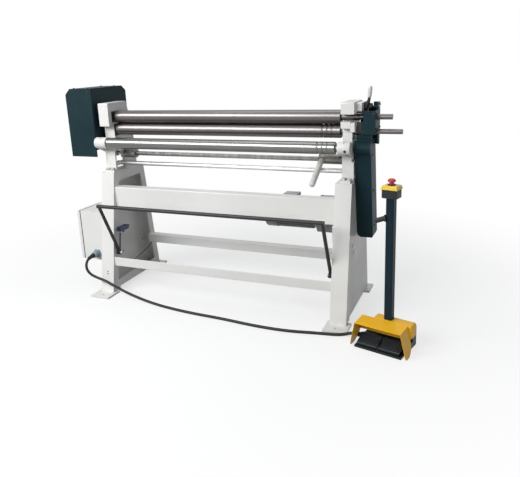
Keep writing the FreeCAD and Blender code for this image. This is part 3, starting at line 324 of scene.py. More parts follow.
# %% Paints
CREAM, DUSTY_CREAM = (0.79, 0.785, 0.76), (0.72, 0.715, 0.69)
STEEL_TINT = (0.32, 0.32, 0.31)
frame_enamel = finish("frame_enamel", (CREAM, DUSTY_CREAM), 2.5, (0.30, 0.42), (0.00010, 260))
cast_enamel = finish("cast_enamel", (CREAM, (0.69, 0.685, 0.66)), 7.0, (0.38, 0.55), (0.0006, 190),
                     grain=(0.63, 0.625, 0.60))
cover_coat = finish("cover_coat", ((0.005, 0.021, 0.027), (0.008, 0.027, 0.034)), 6.0, (0.42, 0.55),
                    (0.00035, 700), gloss=0.12, worn=((0.06, 0.09, 0.10), 0.0015, 0.5))
post_coat = finish("post_coat", ((0.005, 0.016, 0.026), (0.008, 0.020, 0.031)), 8.0, (0.36, 0.48),
                   (0.0002, 800), gloss=0.12, worn=((0.08, 0.10, 0.12), 0.0015, 0.5))
black_coat = finish("black_coat", ((0.005, 0.006, 0.007), (0.010, 0.011, 0.012)), 10.0, (0.38, 0.52),
                    (0.0002, 500), gloss=0.4, worn=(STEEL_TINT, 0.0012, 0.6))
yellow_coat = finish("yellow_coat", ((0.90, 0.50, 0.020), (0.84, 0.43, 0.014)), 9.0, (0.28, 0.40),
                     (0.0002, 350), gloss=0.25, worn=((0.45, 0.24, 0.02), 0.0015, 0.55))
motor_coat = finish("motor_coat", ((0.30, 0.32, 0.33), (0.24, 0.255, 0.265)), 12.0, (0.4, 0.55),
                    (0.0004, 300), grain=(0.26, 0.27, 0.28))
print("paints made")

# %% [markdown]
# Bare metal next.  The rolls are worn smooth by sheet steel, with long handling stains along them.
# Their colour is a dark, slightly brown steel: a mirror in a white room looks white, and what keeps
# steel grey is its own colour.  The bending roll gets a lighter, glossier copy of the same steel:
# that extra brightness is painted highlight, not a different metal.

# %% Bare metals
roll_steel = finish("roll_steel", ((0.165, 0.153, 0.154), (0.130, 0.120, 0.121)), 4.0, (0.27, 0.35),
                    (0.000004, 400), metal=1.0, stretch=(0.5, 7, 7))
# A lighter, glossier copy of the roll steel for the bending roll: painted highlight that brightens its
# top half.
painted_highlight_roll = finish("painted_highlight_roll", ((0.21, 0.21, 0.205), (0.155, 0.155, 0.15)), 4.0, (0.20, 0.30),
                     (0.000004, 400), metal=1.0, stretch=(0.5, 7, 7))
machined_steel = finish("machined_steel", ((0.42, 0.415, 0.40), (0.30, 0.295, 0.285)), 8.0,
                        (0.24, 0.38), (0.00008, 60), metal=1.0, stretch=(12, 1, 1))
shaft_steel = finish("shaft_steel", ((0.36, 0.365, 0.355), (0.25, 0.25, 0.245)), 9.0, (0.34, 0.5),
                     (0.00015, 120), metal=1.0, stretch=(3, 1, 1))
tie_steel = finish("tie_steel", ((0.78, 0.78, 0.77), (0.66, 0.66, 0.65)), 6.0, (0.3, 0.42),
                   (0.0001, 200), metal=1.0, stretch=(4, 1, 1))
zinc = finish("zinc", ((0.60, 0.61, 0.60), (0.48, 0.49, 0.47)), 60.0, (0.26, 0.42), (0.00015, 400),
              metal=1.0)
gear_steel = finish("gear_steel", ((0.30, 0.29, 0.27), (0.16, 0.145, 0.12)), 25.0, (0.25, 0.42),
                    (0.0003, 240), metal=1.0)
oily_iron = finish("oily_iron", ((0.27, 0.255, 0.23), (0.15, 0.14, 0.125)), 28.0, (0.28, 0.55),
                   (0.0008, 160), metal=0.55, grain=(0.40, 0.38, 0.35))
dark_iron = finish("dark_iron", ((0.030, 0.028, 0.027), (0.014, 0.013, 0.013)), 30.0, (0.3, 0.5),
                   (0.0006, 200), metal=0.4)
print("metals made")

# %% [markdown]
# Moulded pieces last.  Plastic and rubber look alike until the gloss is right: polished handle
# plastic is smooth, the switch housings are satin with a spark-eroded grain, and rubber is dull.

# %% Plastics and rubber
grip_white = finish("grip_white", ((0.70, 0.69, 0.66), (0.62, 0.61, 0.58)), 14.0, (0.28, 0.4),
                    (0.00012, 300), worn=((0.42, 0.40, 0.37), 0.0015, 0.4))
black_plastic = finish("black_plastic", ((0.012, 0.016, 0.018), (0.020, 0.025, 0.027)), 18.0,
                       (0.4, 0.55), (0.0003, 900), gloss=0.25, worn=((0.07, 0.08, 0.085), 0.001, 0.6))
rubber = finish("rubber", ((0.010, 0.010, 0.010), (0.020, 0.020, 0.019)), 20.0, (0.5, 0.7),
                (0.0002, 900), gloss=0.35)
red_plastic = finish("red_plastic", ((0.48, 0.022, 0.045), (0.40, 0.016, 0.035)), 30.0, (0.2, 0.32),
                     (0.00008, 400))
cover_yellow = finish("cover_yellow", ((0.80, 0.56, 0.050), (0.74, 0.49, 0.035)), 20.0, (0.35, 0.48),
                      (0.00018, 900))
switch_blue = finish("switch_blue", ((0.018, 0.038, 0.10), (0.028, 0.05, 0.12)), 25.0, (0.38, 0.5),
                     (0.0002, 900))
grey_plastic = finish("grey_plastic", ((0.20, 0.27, 0.31), (0.26, 0.33, 0.37)), 25.0, (0.4, 0.52),
                      (0.0002, 900))
light_plastic = finish("light_plastic", ((0.52, 0.53, 0.52), (0.60, 0.60, 0.58)), 30.0, (0.4, 0.5),
                       (0.0002, 800))
print("moulded finishes made")

# %% [markdown]
# ## Dressing the metalwork
#
# Sheet steel and castings never have knife edges, and a rounded edge is what catches the light.
# So a weld modifier first joins the corners that the import split, and a bevel modifier then
# rounds each sharp edge by a millimetre or so.  The mesh itself is not touched: modifiers only act
# on what is shown.

# %% Finish and soft edge of each piece
EDGE_FOLD = math.radians(32)
DRESS = [
    (frame_enamel, 0.0018, "left_stand right_stand lower_front_rail lower_rear_rail gearbox_plate"),
    (frame_enamel, 0.0010, "front_beam electric_cabinet cabinet_door"),
    (cast_enamel, 0.0016, "left_head right_head bending_arm_left bending_arm_right"),
    (cover_coat, 0.0010, "gear_cover gear_back_plate chain_cover end_block"),
    (post_coat, 0.0, "pedestal_post"),
    (roll_steel, 0.0, "upper_roll lower_roll bending_roll"),
    (machined_steel, 0.0004, "pinch_screw_left pinch_screw_right drive_shaft"),
    (shaft_steel, 0.0006, "cross_shaft"),
    (tie_steel, 0.0006, "tie_rod"),
    (zinc, 0.0005, "frame_fasteners"),
    (gear_steel, 0.0004, "upper_gear lower_gear roll_sprocket drive_sprocket drive_chain"),
    (oily_iron, 0.0012, "left_collar lever_collar"),
    (dark_iron, 0.0010, "upper_bearing lower_bearing_left lower_bearing_right output_bearing"),
    (motor_coat, 0.0010, "gearbox motor_body fan_cowl"),
    (grip_white, 0.0, "hand_lever release_lever"),
    (rubber, 0.0, "door_gasket pedal_cable"),
    (black_plastic, 0.0006, "door_lock pedal_base left_pedal right_pedal estop_box post_handle"),
    (light_plastic, 0.0006, "cabinet_fittings"),
    (grey_plastic, 0.0008, "cable_gland"),
    (black_coat, 0.0, "trip_bar release_gate"),
    (switch_blue, 0.0, "limit_switch"),
    (yellow_coat, 0.0005, "pedal_housing pedal_guard"),
    (cover_yellow, 0.0, "estop_cover"),
    (red_plastic, 0.0, "estop_button"),
]


def round_edges(obj, width, segments):
    """Rounds the sharp edges of what is shown; the width is in metres."""
    bevel = obj.modifiers.new("bevel", "BEVEL")
    bevel.width, bevel.segments, bevel.limit_method = width, segments, "ANGLE"
    bevel.angle_limit, bevel.use_clamp_overlap, bevel.harden_normals = EDGE_FOLD, True, True


def soften(obj, width):
    """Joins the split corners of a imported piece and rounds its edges."""
    weld = obj.modifiers.new("weld", "WELD")
    weld.merge_threshold = 0.00001
    round_edges(obj, width, 2)


for material, width, names in DRESS:
    for name in names.split():
        mesh = nodes[name].data
        mesh.materials.clear()
        mesh.materials.append(material)
        if width:
            soften(nodes[name], width)
cable.data.materials.append(rubber)
print("dressed", sum(len(names.split()) for _, _, names in DRESS), "pieces")

# %% [markdown]
# ## Small turned and hexagonal pieces
#
# Bolt heads, nuts, washers, screws, caps and knobs are all stacks of rings along one direction:
# a ring is a circle or a hexagon, and a chamfer is one more ring, so one helper makes them all.
# Each piece gets smooth faces with sharp edges where it folds and rides on the body that carries it.

# %% Rings stacked along a direction
STEPS = 24
SHARP = math.radians(33)


def ring_reach(shape, radius, angle):
    """The radius of a ring at an angle: a circle, or a hexagon measured over its corners."""
    if shape == "round":
        return radius
    within = angle % (math.pi / 3) - math.pi / 6
    return radius * math.cos(math.pi / 6) / math.cos(within)


def ring_corners(mesh, place, turn, height, radii):
    """One ring round a direction, with a radius for each corner; all in metres."""
    angles = (2 * math.pi * k / len(radii) for k in range(len(radii)))
    return [mesh.verts.new(place + turn @ Vector((r * math.cos(a), r * math.sin(a), height)))
            for r, a in zip(radii, angles)]


def join_rings(mesh, rings):
    """The skin over rings with equal numbers of corners, closed at both ends."""
    for low, high in zip(rings, rings[1:]):
        for k in range(len(low)):
            n = (k + 1) % len(low)
            mesh.faces.new((low[k], low[n], high[n], high[k]))
    mesh.faces.new(rings[0][::-1])
    mesh.faces.new(rings[-1])


def stack(mesh, place, direction, rings, steps=STEPS):
    """Adds a closed piece: rings of (distance in mm, radius in mm, shape) along a direction."""
    turn = Vector(direction).to_track_quat("Z", "Y")
    loops = []
    for distance, radius, *shape in rings:
        radii = [ring_reach(shape[0] if shape else "round", radius, 2 * math.pi * k / steps) / 1000
                 for k in range(steps)]
        loops.append(ring_corners(mesh, place, turn, distance / 1000, radii))
    join_rings(mesh, loops)


def new_piece(name, mesh, material, body, replaces=()):
    """Turns a bmesh into an object with its finish and body."""
    bmesh.ops.recalc_face_normals(mesh, faces=mesh.faces)
    data = bpy.data.meshes.new(name)
    mesh.to_mesh(data)
    mesh.free()
    data.polygons.foreach_set("use_smooth", [True] * len(data.polygons))
    data.set_sharp_from_angle(angle=SHARP)
    data.materials.append(material)
    piece = bpy.data.objects.new(name, data)
    scene.collection.objects.link(piece)
    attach(piece, body)
    if replaces:
        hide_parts(*replaces)
    return piece


def stacks(name, entries, material, body, replaces=()):
    """One object from many stacks: (place, direction, rings)."""
    mesh = bmesh.new()
    for place, direction, rings in entries:
        stack(mesh, place, direction, rings)
    return new_piece(name, mesh, material, body, replaces)


print("ring helper ready,", STEPS, "steps")

# %% [markdown]
# ## Bolts, nuts and washers of the frame
#
# The heads stand on the stands with four bolts each, the tie rod has a nut on both sides of each
# web, and two bolts on the right stand hold the drive plate.  A hexagon head is chamfered on top
# and stands on a washer.


# %% Frame bolts
def bolt_rings(flats, height, washer=None):
    """A chamfered hexagon head, over a washer of (radius, thickness) if one is given."""
    rings, base, corner = [], 0, flats / math.sqrt(3)
    if washer:
        radius, base = washer
        rings = [(0, radius - 0.4), (0.4, radius), (base - 0.4, radius), (base, radius - 0.4)]
    return rings + [(base, corner * 0.99, "hex"), (base + height * 0.78, corner, "hex"),
                    (base + height, corner * 0.90), (base + height, corner * 0.5)]


def nut_rings(flats, height, bore):
    """A nut chamfered on both faces."""
    corner = flats / math.sqrt(3)
    return [(0, bore), (0, corner * 0.9), (height * 0.16, corner, "hex"),
            (height * 0.84, corner, "hex"), (height, corner * 0.9), (height, bore)]


UP, DOWN, RIGHT, LEFT, FRONT = (0, 0, 1), (0, 0, -1), (1, 0, 0), (-1, 0, 0), (0, -1, 0)
HEAD_BOLT_X, HEAD_BOLT_Y, STAND_TOP = (-696, -664, 678, 704), (-60, 168), 704
TIE_AXIS, TIE_NUT_X = (10, 734), (-648, -676, 656, 684)
RIGHT_SIDE, PLATE_BOLTS = 725, ((-60, 372), (-36, 333))
bolts = [(mm(x, y, STAND_TOP), UP, bolt_rings(18, 8, (14, 2.2)))
         for x in HEAD_BOLT_X for y in HEAD_BOLT_Y]
bolts += [(mm(RIGHT_SIDE, y, z), RIGHT, bolt_rings(13, 6, (10, 1.6))) for y, z in PLATE_BOLTS]
bolts += [(mm(x, *TIE_AXIS), RIGHT, nut_rings(22, 12, 7.5)) for x in TIE_NUT_X]
stacks("frame_bolts", bolts, zinc, "frame", ("frame_fasteners",))
print("frame bolts", len(bolts))

# %% [markdown]
# ## Threads
#
# A thread is a helix: going once round the bar moves the crest by one pitch.  Rings close together
# whose radius follows that phase draw it with no boolean work.

# %% Screw threads
SCREW_FOOT, SCREW_LENGTH = 819, 78


def thread(mesh, place, direction, length, radius, pitch, depth, steps=20):
    """A threaded bar: the radius at each angle and height follows the helix."""
    turn = Vector(direction).to_track_quat("Z", "Y")
    rows = int(length / pitch * 4)
    loops = []
    for row in range(rows + 1):
        height = length * row / rows
        phases = ((height / pitch - k / steps) % 1.0 for k in range(steps))
        radii = [(radius - depth * abs(2 * phase - 1)) / 1000 for phase in phases]
        loops.append(ring_corners(mesh, place, turn, height / 1000, radii))
    join_rings(mesh, loops)


for side, x in (("left", -690), ("right", 698)):
    mesh = bmesh.new()
    thread(mesh, mm(x, 0, SCREW_FOOT), UP, SCREW_LENGTH, 8.0, 2.5, 1.1)
    stack(mesh, mm(x, 0, SCREW_FOOT + SCREW_LENGTH), UP, [(0, 6.4), (0.2, 7.6), (7, 7.6), (8, 6.8)])
    stack(mesh, mm(x, 0, SCREW_FOOT), DOWN, bolt_rings(22, 14))
    new_piece("pinch_screw_%s_threaded" % side, mesh, machined_steel, "screw_" + side,
              ("pinch_screw_" + side,))
mesh = bmesh.new()
thread(mesh, mm(-688.5, *TIE_AXIS), RIGHT, 26, 7.6, 2.0, 0.9)
thread(mesh, mm(668, *TIE_AXIS), RIGHT, 40.5, 7.6, 2.0, 0.9)
new_piece("tie_rod_threads", mesh, zinc, "frame")
print("threads cut")

# %% [markdown]
# ## The rolls
#
# The rolls are ground bars, smooth to the touch.  The model's rolls are cut into flats that would
# show in the highlight, so finer ones are turned here from the same sizes, with chamfered ends,
# the lathe's centre hole in each end and three shallow grooves for rolling wire.  The pinch roll
# bodies run on past the working length, up to the right head, as they do in the picture.

# %% Turned rolls
ROLL_STEPS = 96
BODY_LEFT, WORKING_RIGHT, BODY_RIGHT = -635, 635, 655
PINCH_RADIUS, NECK, JOURNAL, BENDING_RADIUS, EDGE = 34, 17.5, 15, 30, 1.5
UPPER_AXIS, LOWER_AXIS, NOSE = (0, 1000), (0, 931.6), (-94, 863)
WIRE_GROOVES, GROOVE_RINGS = ((70, 4.0), (45, 3.2), (22, 2.6)), 9


def groove_rings(radius):
    """Rings of the round-bottomed wire grooves near the right end of the working length."""
    steps = GROOVE_RINGS - 1
    return [(WORKING_RIGHT - back - width + 2 * width * k / steps,
             radius - width * 0.75 * math.sin(math.pi * k / steps))
            for back, width in WIRE_GROOVES for k in range(GROOVE_RINGS)]


def centre_hole(x, inward):
    """Rings of the lathe's centre hole in one end."""
    return [(x + inward * 7, 0.4), (x + inward * 4.5, 1.8), (x, 4.2)]


def turned_roll(name, node, rings, axis, material):
    """A roll turned along X: rings of (x, radius), with centre holes in both ends."""
    first, last = rings[0], rings[-1]
    full = centre_hole(first[0], 1) + [(first[0], first[1] - 1.2), (first[0] + 1.2, first[1])]
    full += rings[1:-1] + [(last[0] - 1.2, last[1]), (last[0], last[1] - 1.2)]
    mesh = bmesh.new()
    stack(mesh, mm(0, *axis), RIGHT, full + centre_hole(last[0], -1)[::-1], ROLL_STEPS)
    new_piece(name, mesh, material, node, (node,))


def pinch_rings(reach, stub, grooves):
    """Seat, neck, body with chamfers and, on the lower roll, grooves, then neck and stub."""
    return ([(-778, JOURNAL), (-740, JOURNAL), (-740, NECK), (BODY_LEFT, NECK),
             (BODY_LEFT, PINCH_RADIUS - EDGE), (BODY_LEFT + EDGE, PINCH_RADIUS)] + grooves
            + [(BODY_RIGHT - EDGE, PINCH_RADIUS), (BODY_RIGHT, PINCH_RADIUS - EDGE),
               (BODY_RIGHT, NECK), (742, NECK), (742, stub), (828, stub), (828, stub - 1),
               (reach, stub - 1)])


turned_roll("upper_pinch_roll", "upper_roll", pinch_rings(897, 14, []), UPPER_AXIS, roll_steel)
turned_roll("lower_pinch_roll", "lower_roll", pinch_rings(944, 13, groove_rings(PINCH_RADIUS)),
            LOWER_AXIS, roll_steel)
bend = [(-717, JOURNAL), (-645, JOURNAL), (-645, BENDING_RADIUS - EDGE),
        (-645 + EDGE, BENDING_RADIUS)] + groove_rings(BENDING_RADIUS)
bend += [(650 - EDGE, BENDING_RADIUS), (650, BENDING_RADIUS - EDGE), (650, JOURNAL), (716, JOURNAL)]
# The bending roll takes the roll steel lightened as painted highlight.
turned_roll("front_bending_roll", "bending_roll", bend, NOSE, painted_highlight_roll)
print("rolls turned with", ROLL_STEPS, "steps")

# %% [markdown]
# ## Weld beads
#
# The beam, the rails and the foot plates are welded on.  A bead is a thin tube in the corner whose
# radius rises and falls every few millimetres.  It is painted with the frame.

# %% Weld beads
RIPPLE_MM, BEAD_RADIUS = 4.5, 2.6


def sweep(mesh, points, radii, steps=16):
    """A closed tube along points with a radius at each of them, in metres."""
    loops = []
    for k, (point, radius) in enumerate(zip(points, radii)):
        ahead = points[min(k + 1, len(points) - 1)] - points[max(k - 1, 0)]
        loops.append(ring_corners(mesh, point, ahead.to_track_quat("Z", "Y"), 0, [radius] * steps))
    join_rings(mesh, loops)


def bead(mesh, start, end):
    """A rippled tube along a straight run between two places in mm."""
    start, end = Vector(start), Vector(end)
    length = (end - start).length
    count = max(2, int(length / (RIPPLE_MM / 3)))
    points, radii = [], []
    for k in range(count + 1):
        ripple = 0.86 + 0.22 * abs(math.sin(math.pi * length * k / count / RIPPLE_MM))
        radii.append(BEAD_RADIUS * ripple * (0.4 if k in (0, count) else 1.0) / 1000)
        points.append(mm(*start.lerp(end, k / count)))
    sweep(mesh, points, radii, 8)


mesh = bmesh.new()
for side in (-1, 1):
    web, rim = side * 642.6, side * 725.4
    for y0, z0, y1, z1 in ((-35, 483, -89, 483), (-89.5, 486, -89.5, 608), (-86, 611.5, -36, 611.5),
                           (-159.5, 164, -159.5, 215), (204, 240.5, 250, 240.5),
                           (202.5, 193, 202.5, 239), (251.5, 239, 251.5, 193)):
        bead(mesh, (web, y0, z0), (web, y1, z1))
    for low_y, high_y in ((-198, -168), (252, 298)):
        bead(mesh, (rim, low_y, 10.3), (rim, high_y, 10.3))
    for y in (-200.4, 300.4):
        bead(mesh, (side * 646, y, 10.3), (side * 722, y, 10.3))
new_piece("weld_beads", mesh, frame_enamel, "frame")
print("weld beads laid")

# %% [markdown]
# ## Screws and nipples of the arms and collars
#
# Each swing arm's nose has a grease nipple, the right one also a set screw for its bush, and
# socket screws hold the collars.  A socket is a stack that turns back inside itself: its last
# rings are hexagons that go down into the head.

# %% Socket screws and nipples
PIVOT = (50, 784)


def socket_rings(radius, height):
    """A cylindrical head with a hexagon socket."""
    key = radius * 0.58
    return [(0, radius), (height - 0.8, radius), (height, radius - 0.8), (height, key * 1.16),
            (height - 0.3, key, "hex"), (height * 0.35, key, "hex"), (height * 0.35, key * 0.2)]


def nipple_rings():
    """A grease nipple: hexagon, neck and ball."""
    return [(0, 4.2, "hex"), (3.2, 4.2, "hex"), (3.6, 2.6), (5.4, 1.9), (6.4, 2.5), (7.6, 3.1),
            (8.8, 2.9), (9.8, 1.6)]


def aimed(degrees):
    """A direction in the YZ plane, in degrees from the front towards the top."""
    angle = math.radians(degrees)
    return Vector((0, -math.cos(angle), math.sin(angle)))


def on_boss(x, centre, radius, degrees):
    """A point on a boss round an X axis."""
    way = aimed(degrees) * (radius - 0.6)
    return mm(x, centre[0] + way.y, centre[1] + way.z)


arm_screws = [(on_boss(x, NOSE, 30.5, degrees), aimed(degrees), nipple_rings())
              for x, degrees in ((-688, 52), (690, 60))]
stacks("arm_grease_nipples", arm_screws, zinc, "bending_arms")
collar_screws = [(on_boss(x, PIVOT, 25, degrees), aimed(degrees), socket_rings(5, 2.6))
                 for x, degrees in ((-631, 35), (-580, 35), (545, 100), (640, 35))]
collar_screws.append((on_boss(700, NOSE, 30.6, -22), aimed(-22), socket_rings(7, 1.6)))
stacks("collar_screws", collar_screws, dark_iron, "bending_arms")
print("arm and collar screws", len(arm_screws) + len(collar_screws))

# %% [markdown]
# ## Folded sheet and bevelled plates
#
# Covers are folded from sheet, and small brackets are cut from plate.  Both start as four-sided
# levels from bottom to top.  A solidify modifier gives a sheet its thickness to the inside, and a
# bevel modifier gives every fold its radius.

# %% Folds and plates
MACHINE = Matrix.Translation(DRAWN_FROM)


def folded(piece, radius, sheet=0.0, segments=3):
    """Rounds the folds and, for sheet, adds the thickness; both in mm."""
    if sheet:
        skin = piece.modifiers.new("sheet", "SOLIDIFY")
        skin.thickness, skin.offset, skin.use_even_offset = sheet / 1000, -1, True
    round_edges(piece, radius / 1000, segments)


def rectangle(mesh, place, z, x0, x1, y0, y1):
    """Four corners at a height, in mm."""
    return [mesh.verts.new(place @ (Vector((x, y, z)) / 1000))
            for x, y in ((x0, y0), (x1, y0), (x1, y1), (x0, y1))]


def tower(mesh, levels, place, open_from=math.inf, hole=None):
    """Stacked rectangles (z, x0, x1, y0, y1) in one skin, closed at both ends.

    From the height open_from on it has no left side, and a hole (x0, x1, y0, y1) opens its top.
    """
    rings = [rectangle(mesh, place, *level) for level in levels]
    for level, low, high in zip(levels, rings, rings[1:]):
        for j in range(3 if level[0] >= open_from else 4):
            mesh.faces.new((low[j], low[(j + 1) % 4], high[(j + 1) % 4], high[j]))
    mesh.faces.new(rings[0][::-1])
    if not hole:
        mesh.faces.new(rings[-1])
        return
    top, rim = rings[-1], rectangle(mesh, place, levels[-1][0], *hole)
    for j in range(4):
        mesh.faces.new((top[j], top[(j + 1) % 4], rim[(j + 1) % 4], rim[j]))


def towers(name, stacked, material, body, slot, radius, place=MACHINE, replaces=(), sheet=0.0,
           segments=3, **opening):
    """One piece from towers, each a list of levels, with rounded folds."""
    mesh = bmesh.new()
    for levels in stacked:
        tower(mesh, levels, place, **opening)
    folded(new_piece(name, mesh, material, body, replaces), radius, sheet, segments)


def plates(name, boxes, *finish_and_place, **settings):
    """Bevelled plates, each given as (x0, x1, y0, y1, z0, z1) in mm."""
    towers(name, [[(z, x0, x1, y0, y1) for z in (z0, z1)] for x0, x1, y0, y1, z0, z1 in boxes],
           *finish_and_place, **settings, segments=2)


print("plate helpers ready")

# %% [markdown]
# ## The leaning chain cover
#
# The tall cover leans back with the chain, from the end block down to the gear unit.  From the
# front it is a long shield with a rounded brow, straight sides and rounded lower corners; its left
# side is open against the stand, and the chain goes through a slot in its top.  A dark neck above
# it hides the chain on its way into the end block.  Small plates finish that corner: the end
# block's foot, dark plates beside the rolls' ends that are painted shade for the shadowed gap
# between the head and the end block, a rib on the head, and the gate's tail and arm.

# %% Chain cover
GUARD_X, GUARD_LOW, CORNER = (728, 806), 396, 20
GUARD_FRONT, GUARD_REAR = (22, 432), (126, 438.6)
FRONT_LEAN, REAR_LEAN = 74 / 457.6, 60 / 411.6
CHAIN_SLOT = (775, 797, -32, 46)
BROW = {820: 0, 827: 7, 836: 15, 846: 20, 856: 20.5, 866: 16, 876: 8, 884: -2, 889.6: -11}


def guard_front(z):
    """Where the straight front of the cover lies at a height."""
    return GUARD_FRONT[0] - FRONT_LEAN * (z - GUARD_FRONT[1])


def guard_level(z):
    """The cover's left, right, front and rear at a height."""
    inset = CORNER - math.sqrt(max(0.0, CORNER ** 2 - max(0.0, GUARD_LOW + CORNER - z) ** 2))
    return (z, GUARD_X[0] + inset, GUARD_X[1] - inset * 0.35, guard_front(z) - BROW.get(z, 0),
            GUARD_REAR[0] - REAR_LEAN * (z - GUARD_REAR[1]))


heights = [GUARD_LOW + CORNER * (1 - math.cos(math.radians(a))) for a in range(0, 91, 15)]
heights += [640, *BROW]
towers("leaning_chain_cover", [[guard_level(z) for z in heights]], cover_coat, "frame",
       "cover_blue", 4, replaces=("chain_cover",), sheet=2.5, open_from=GUARD_LOW + CORNER - 0.1,
       hole=CHAIN_SLOT)
plates("chain_neck", [(735, 806, -41, -38, 890, 921), (735, 738, -38, 50, 890, 921),
                      (735, 772, 50, 53, 890, 921), (798, 806, 50, 53, 890, 921),
                      (803, 806, -38, 50, 890, 921), (728, 806, -50, -41, 903, 907)],
       cover_coat, "frame", "cover_blue", 0.8)
plates("end_block_foot", [(797, 828, 34, 48, 891, 924), (807.5, 828, 34, 48, 868, 891)],
       cover_coat, "frame", "cover_blue", 2)
# Dark plates beside the rolls' ends: painted shade, a dark sheet where the gap between the head and the
# end block lies in shadow.
plates("roll_end_painted_shade", [(738, 760.5, -44, -41, 926, 980), (738, 760.5, -44, -41, 1020, 1030),
                          (738, 741, -41, -30, 926, 980), (738, 760.5, 32, 35, 926, 1030)],
       dark_iron, "frame", "dark_iron", 0.8)
plates("head_front_rib", [(712, 736, -71, -38, 933, 979)], cast_enamel, "frame", "head_white", 6)
plates("gate_tail", [(771.5, 796, 38, 41, 1044, 1060)], black_coat, "release", "black_paint", 1)
gate_foot, gate_knee = Vector((768, -1, 1043)), Vector((780, 22, 1079))
gate_way = (gate_knee - gate_foot).normalized()
stacks("gate_front_arm", [(mm(*gate_foot), gate_way, [(-6, 4), (-4, 6.2), (38, 6.2), (44, 4)])],
       black_coat, "release")
print("chain cover from", len(heights), "levels")

# %% [markdown]
# ## Screws of the covers
#
# Covers come off for service, so button-head screws hold them at even spacing.  The gate turns on
# a pin with a retaining ring outside the end block.

# %% Cover screws


def button_rings(radius):
    """A round button head on a thin washer, with a hexagon socket."""
    key = radius * 0.5
    return [(0, radius * 1.4), (1.0, radius * 1.4), (1.0, radius), (2.2, radius),
            (3.2, radius * 0.86), (3.9, radius * 0.62), (3.9, key, "hex"), (2.0, key, "hex"),
            (2.0, radius * 0.1)]


def button(x, y, z, way, radius=4.5):
    """One button-head screw on a face of the machine."""
    return mm(x, y, z), way, button_rings(radius)


screws = [button(x, y, 1162, UP) for x in (-860, -765) for y in (-75, 165)]
screws += [button(-909, y, z, LEFT) for y in (-75, 205) for z in (805, 1100)]
screws += [button(x, -95, z, FRONT) for x in (-889, -753) for z in (805, 1140)]
screws += [button(GUARD_X[1], guard_front(z) + 40, z, RIGHT) for z in (455, 640, 820)]
screws += [button(827, y, z, RIGHT) for y, z in ((-41, 948), (-41, 1018), (50, 948), (50, 1054))]
screws += [button(x, -52, z, FRONT, 3.4) for x in (770, 818) for z in (936, 1020)]
stacks("cover_screws", screws, black_coat, "frame")
gate_pin = [(-1, 6), (1.6, 6), (1.6, 9.5), (3.2, 9.5), (3.2, 6), (5, 6), (5.8, 5)]
stacks("gate_pin_head", [(mm(827, 28, 1044), RIGHT, gate_pin)], machined_steel, "frame")
print("cover screws", len(screws))

# %% [markdown]
# ## Levers
#
# The hand lever and the release lever carry moulded grips: a rounded shoulder, a slight swell
# where the palm sits and a domed end.

# %% Moulded levers


def grip_rings(length, radius):
    """A grip with a rounded shoulder, a slight swell and a domed end."""
    rings = [(0, radius * 0.62), (1.5, radius * 0.80), (4, radius * 0.90)]
    rings += [(4 + (length - 14) * k / 10,
               radius * (0.90 + 0.10 * math.sin(math.pi * (0.12 + 0.07 * k)))) for k in range(1, 11)]
    dome = rings[-1][1]
    return rings + [(length - 10 + 10 * math.sin(a), dome * math.cos(a))
                    for a in (math.radians(d) for d in (20, 40, 60, 75, 86))]


grip_from, grip_way = Vector((547, 50, 800)), Vector((0, -203, -111)).normalized()
ferrule = [(0, 9), (26, 9), (26.5, 8.5)]
stacks("hand_lever_grip", [(mm(*(grip_from + grip_way * 24)), grip_way, ferrule),
                           (mm(*(grip_from + grip_way * 28)), grip_way, grip_rings(203, 15.0))],
       grip_white, "bending_arms", ("hand_lever",))
knee, tip = Vector((781, 24, 1080)), Vector((789, 17, 1141))
rise = (tip - knee).normalized()
stacks("release_lever_grip", [(mm(*(knee + rise * 8)), rise, grip_rings(54.5, 9.8))], grip_white,
       "release", ("release_lever",))
print("levers moulded")

# %% [markdown]
# ## The foot control: stop button, lid and post handle
#
# The stop button is a turned cap over a waist, in a black guide ring.  The yellow lid has a wider
# rim and four screws, and the handle on the post is ribbed.  All are given in the foot control's
# own turned frame.

# %% Stop button and post handle


def unit_way(x, y, z):
    """A direction of the foot control's own frame."""
    return UNIT.to_3x3() @ Vector((x, y, z)).normalized()


BUTTON_X, BUTTON_Y, GRIP_RIBS = 9, 36, 7
cap = [(717, 9.6), (757, 9.6), (758.5, 13.5), (760.5, 16.6), (763.5, 17.6), (766.5, 17.2), (769.5, 15),
       (772, 11), (773.6, 6), (774, 1.5)]
stacks("stop_mushroom", [(on_unit(BUTTON_X, BUTTON_Y, 0), UP, cap)], red_plastic, "stop",
       ("estop_button",))
ring = [(744.8, 16), (745.4, 17.4), (748.4, 17.4), (749.6, 16), (749.6, 11.6), (744.8, 11.2)]
stacks("stop_guide_ring", [(on_unit(BUTTON_X, BUTTON_Y, 0), UP, ring)], black_plastic, "frame")
lid = ((727.6, 37, 31), (732, 37, 31), (733, 35.5, 29.5), (741, 34.5, 28.5), (745, 30, 24))
towers("stop_lid", [[(z, BUTTON_X - x, BUTTON_X + x, BUTTON_Y - y, BUTTON_Y + y) for z, x, y in lid]],
       cover_yellow, "frame", "yellow_plastic", 3, UNIT, ("estop_cover",))
lid_screw = [(0, 3.2), (0.8, 3.2), (1.2, 2.8), (1.2, 1.6, "hex"), (0.4, 1.6, "hex"), (0.4, 0.3)]
stacks("stop_lid_screws", [(on_unit(BUTTON_X + x, BUTTON_Y + y, 744.8), UP, lid_screw)
                           for x in (-24, 24) for y in (-18, 18)], zinc, "frame")
ribs = [(-4, 15), (0, 15), (1.5, 12), (4, 11.5)]
for k in range(GRIP_RIBS):
    ribs += [(5 + 5 * k, 9.6), (7 + 5 * k, 9.8), (7.6 + 5 * k, 11.2), (9.4 + 5 * k, 11.2)]
ribs += [(41, 9.5), (44, 8.2), (46, 5), (46.4, 1)]
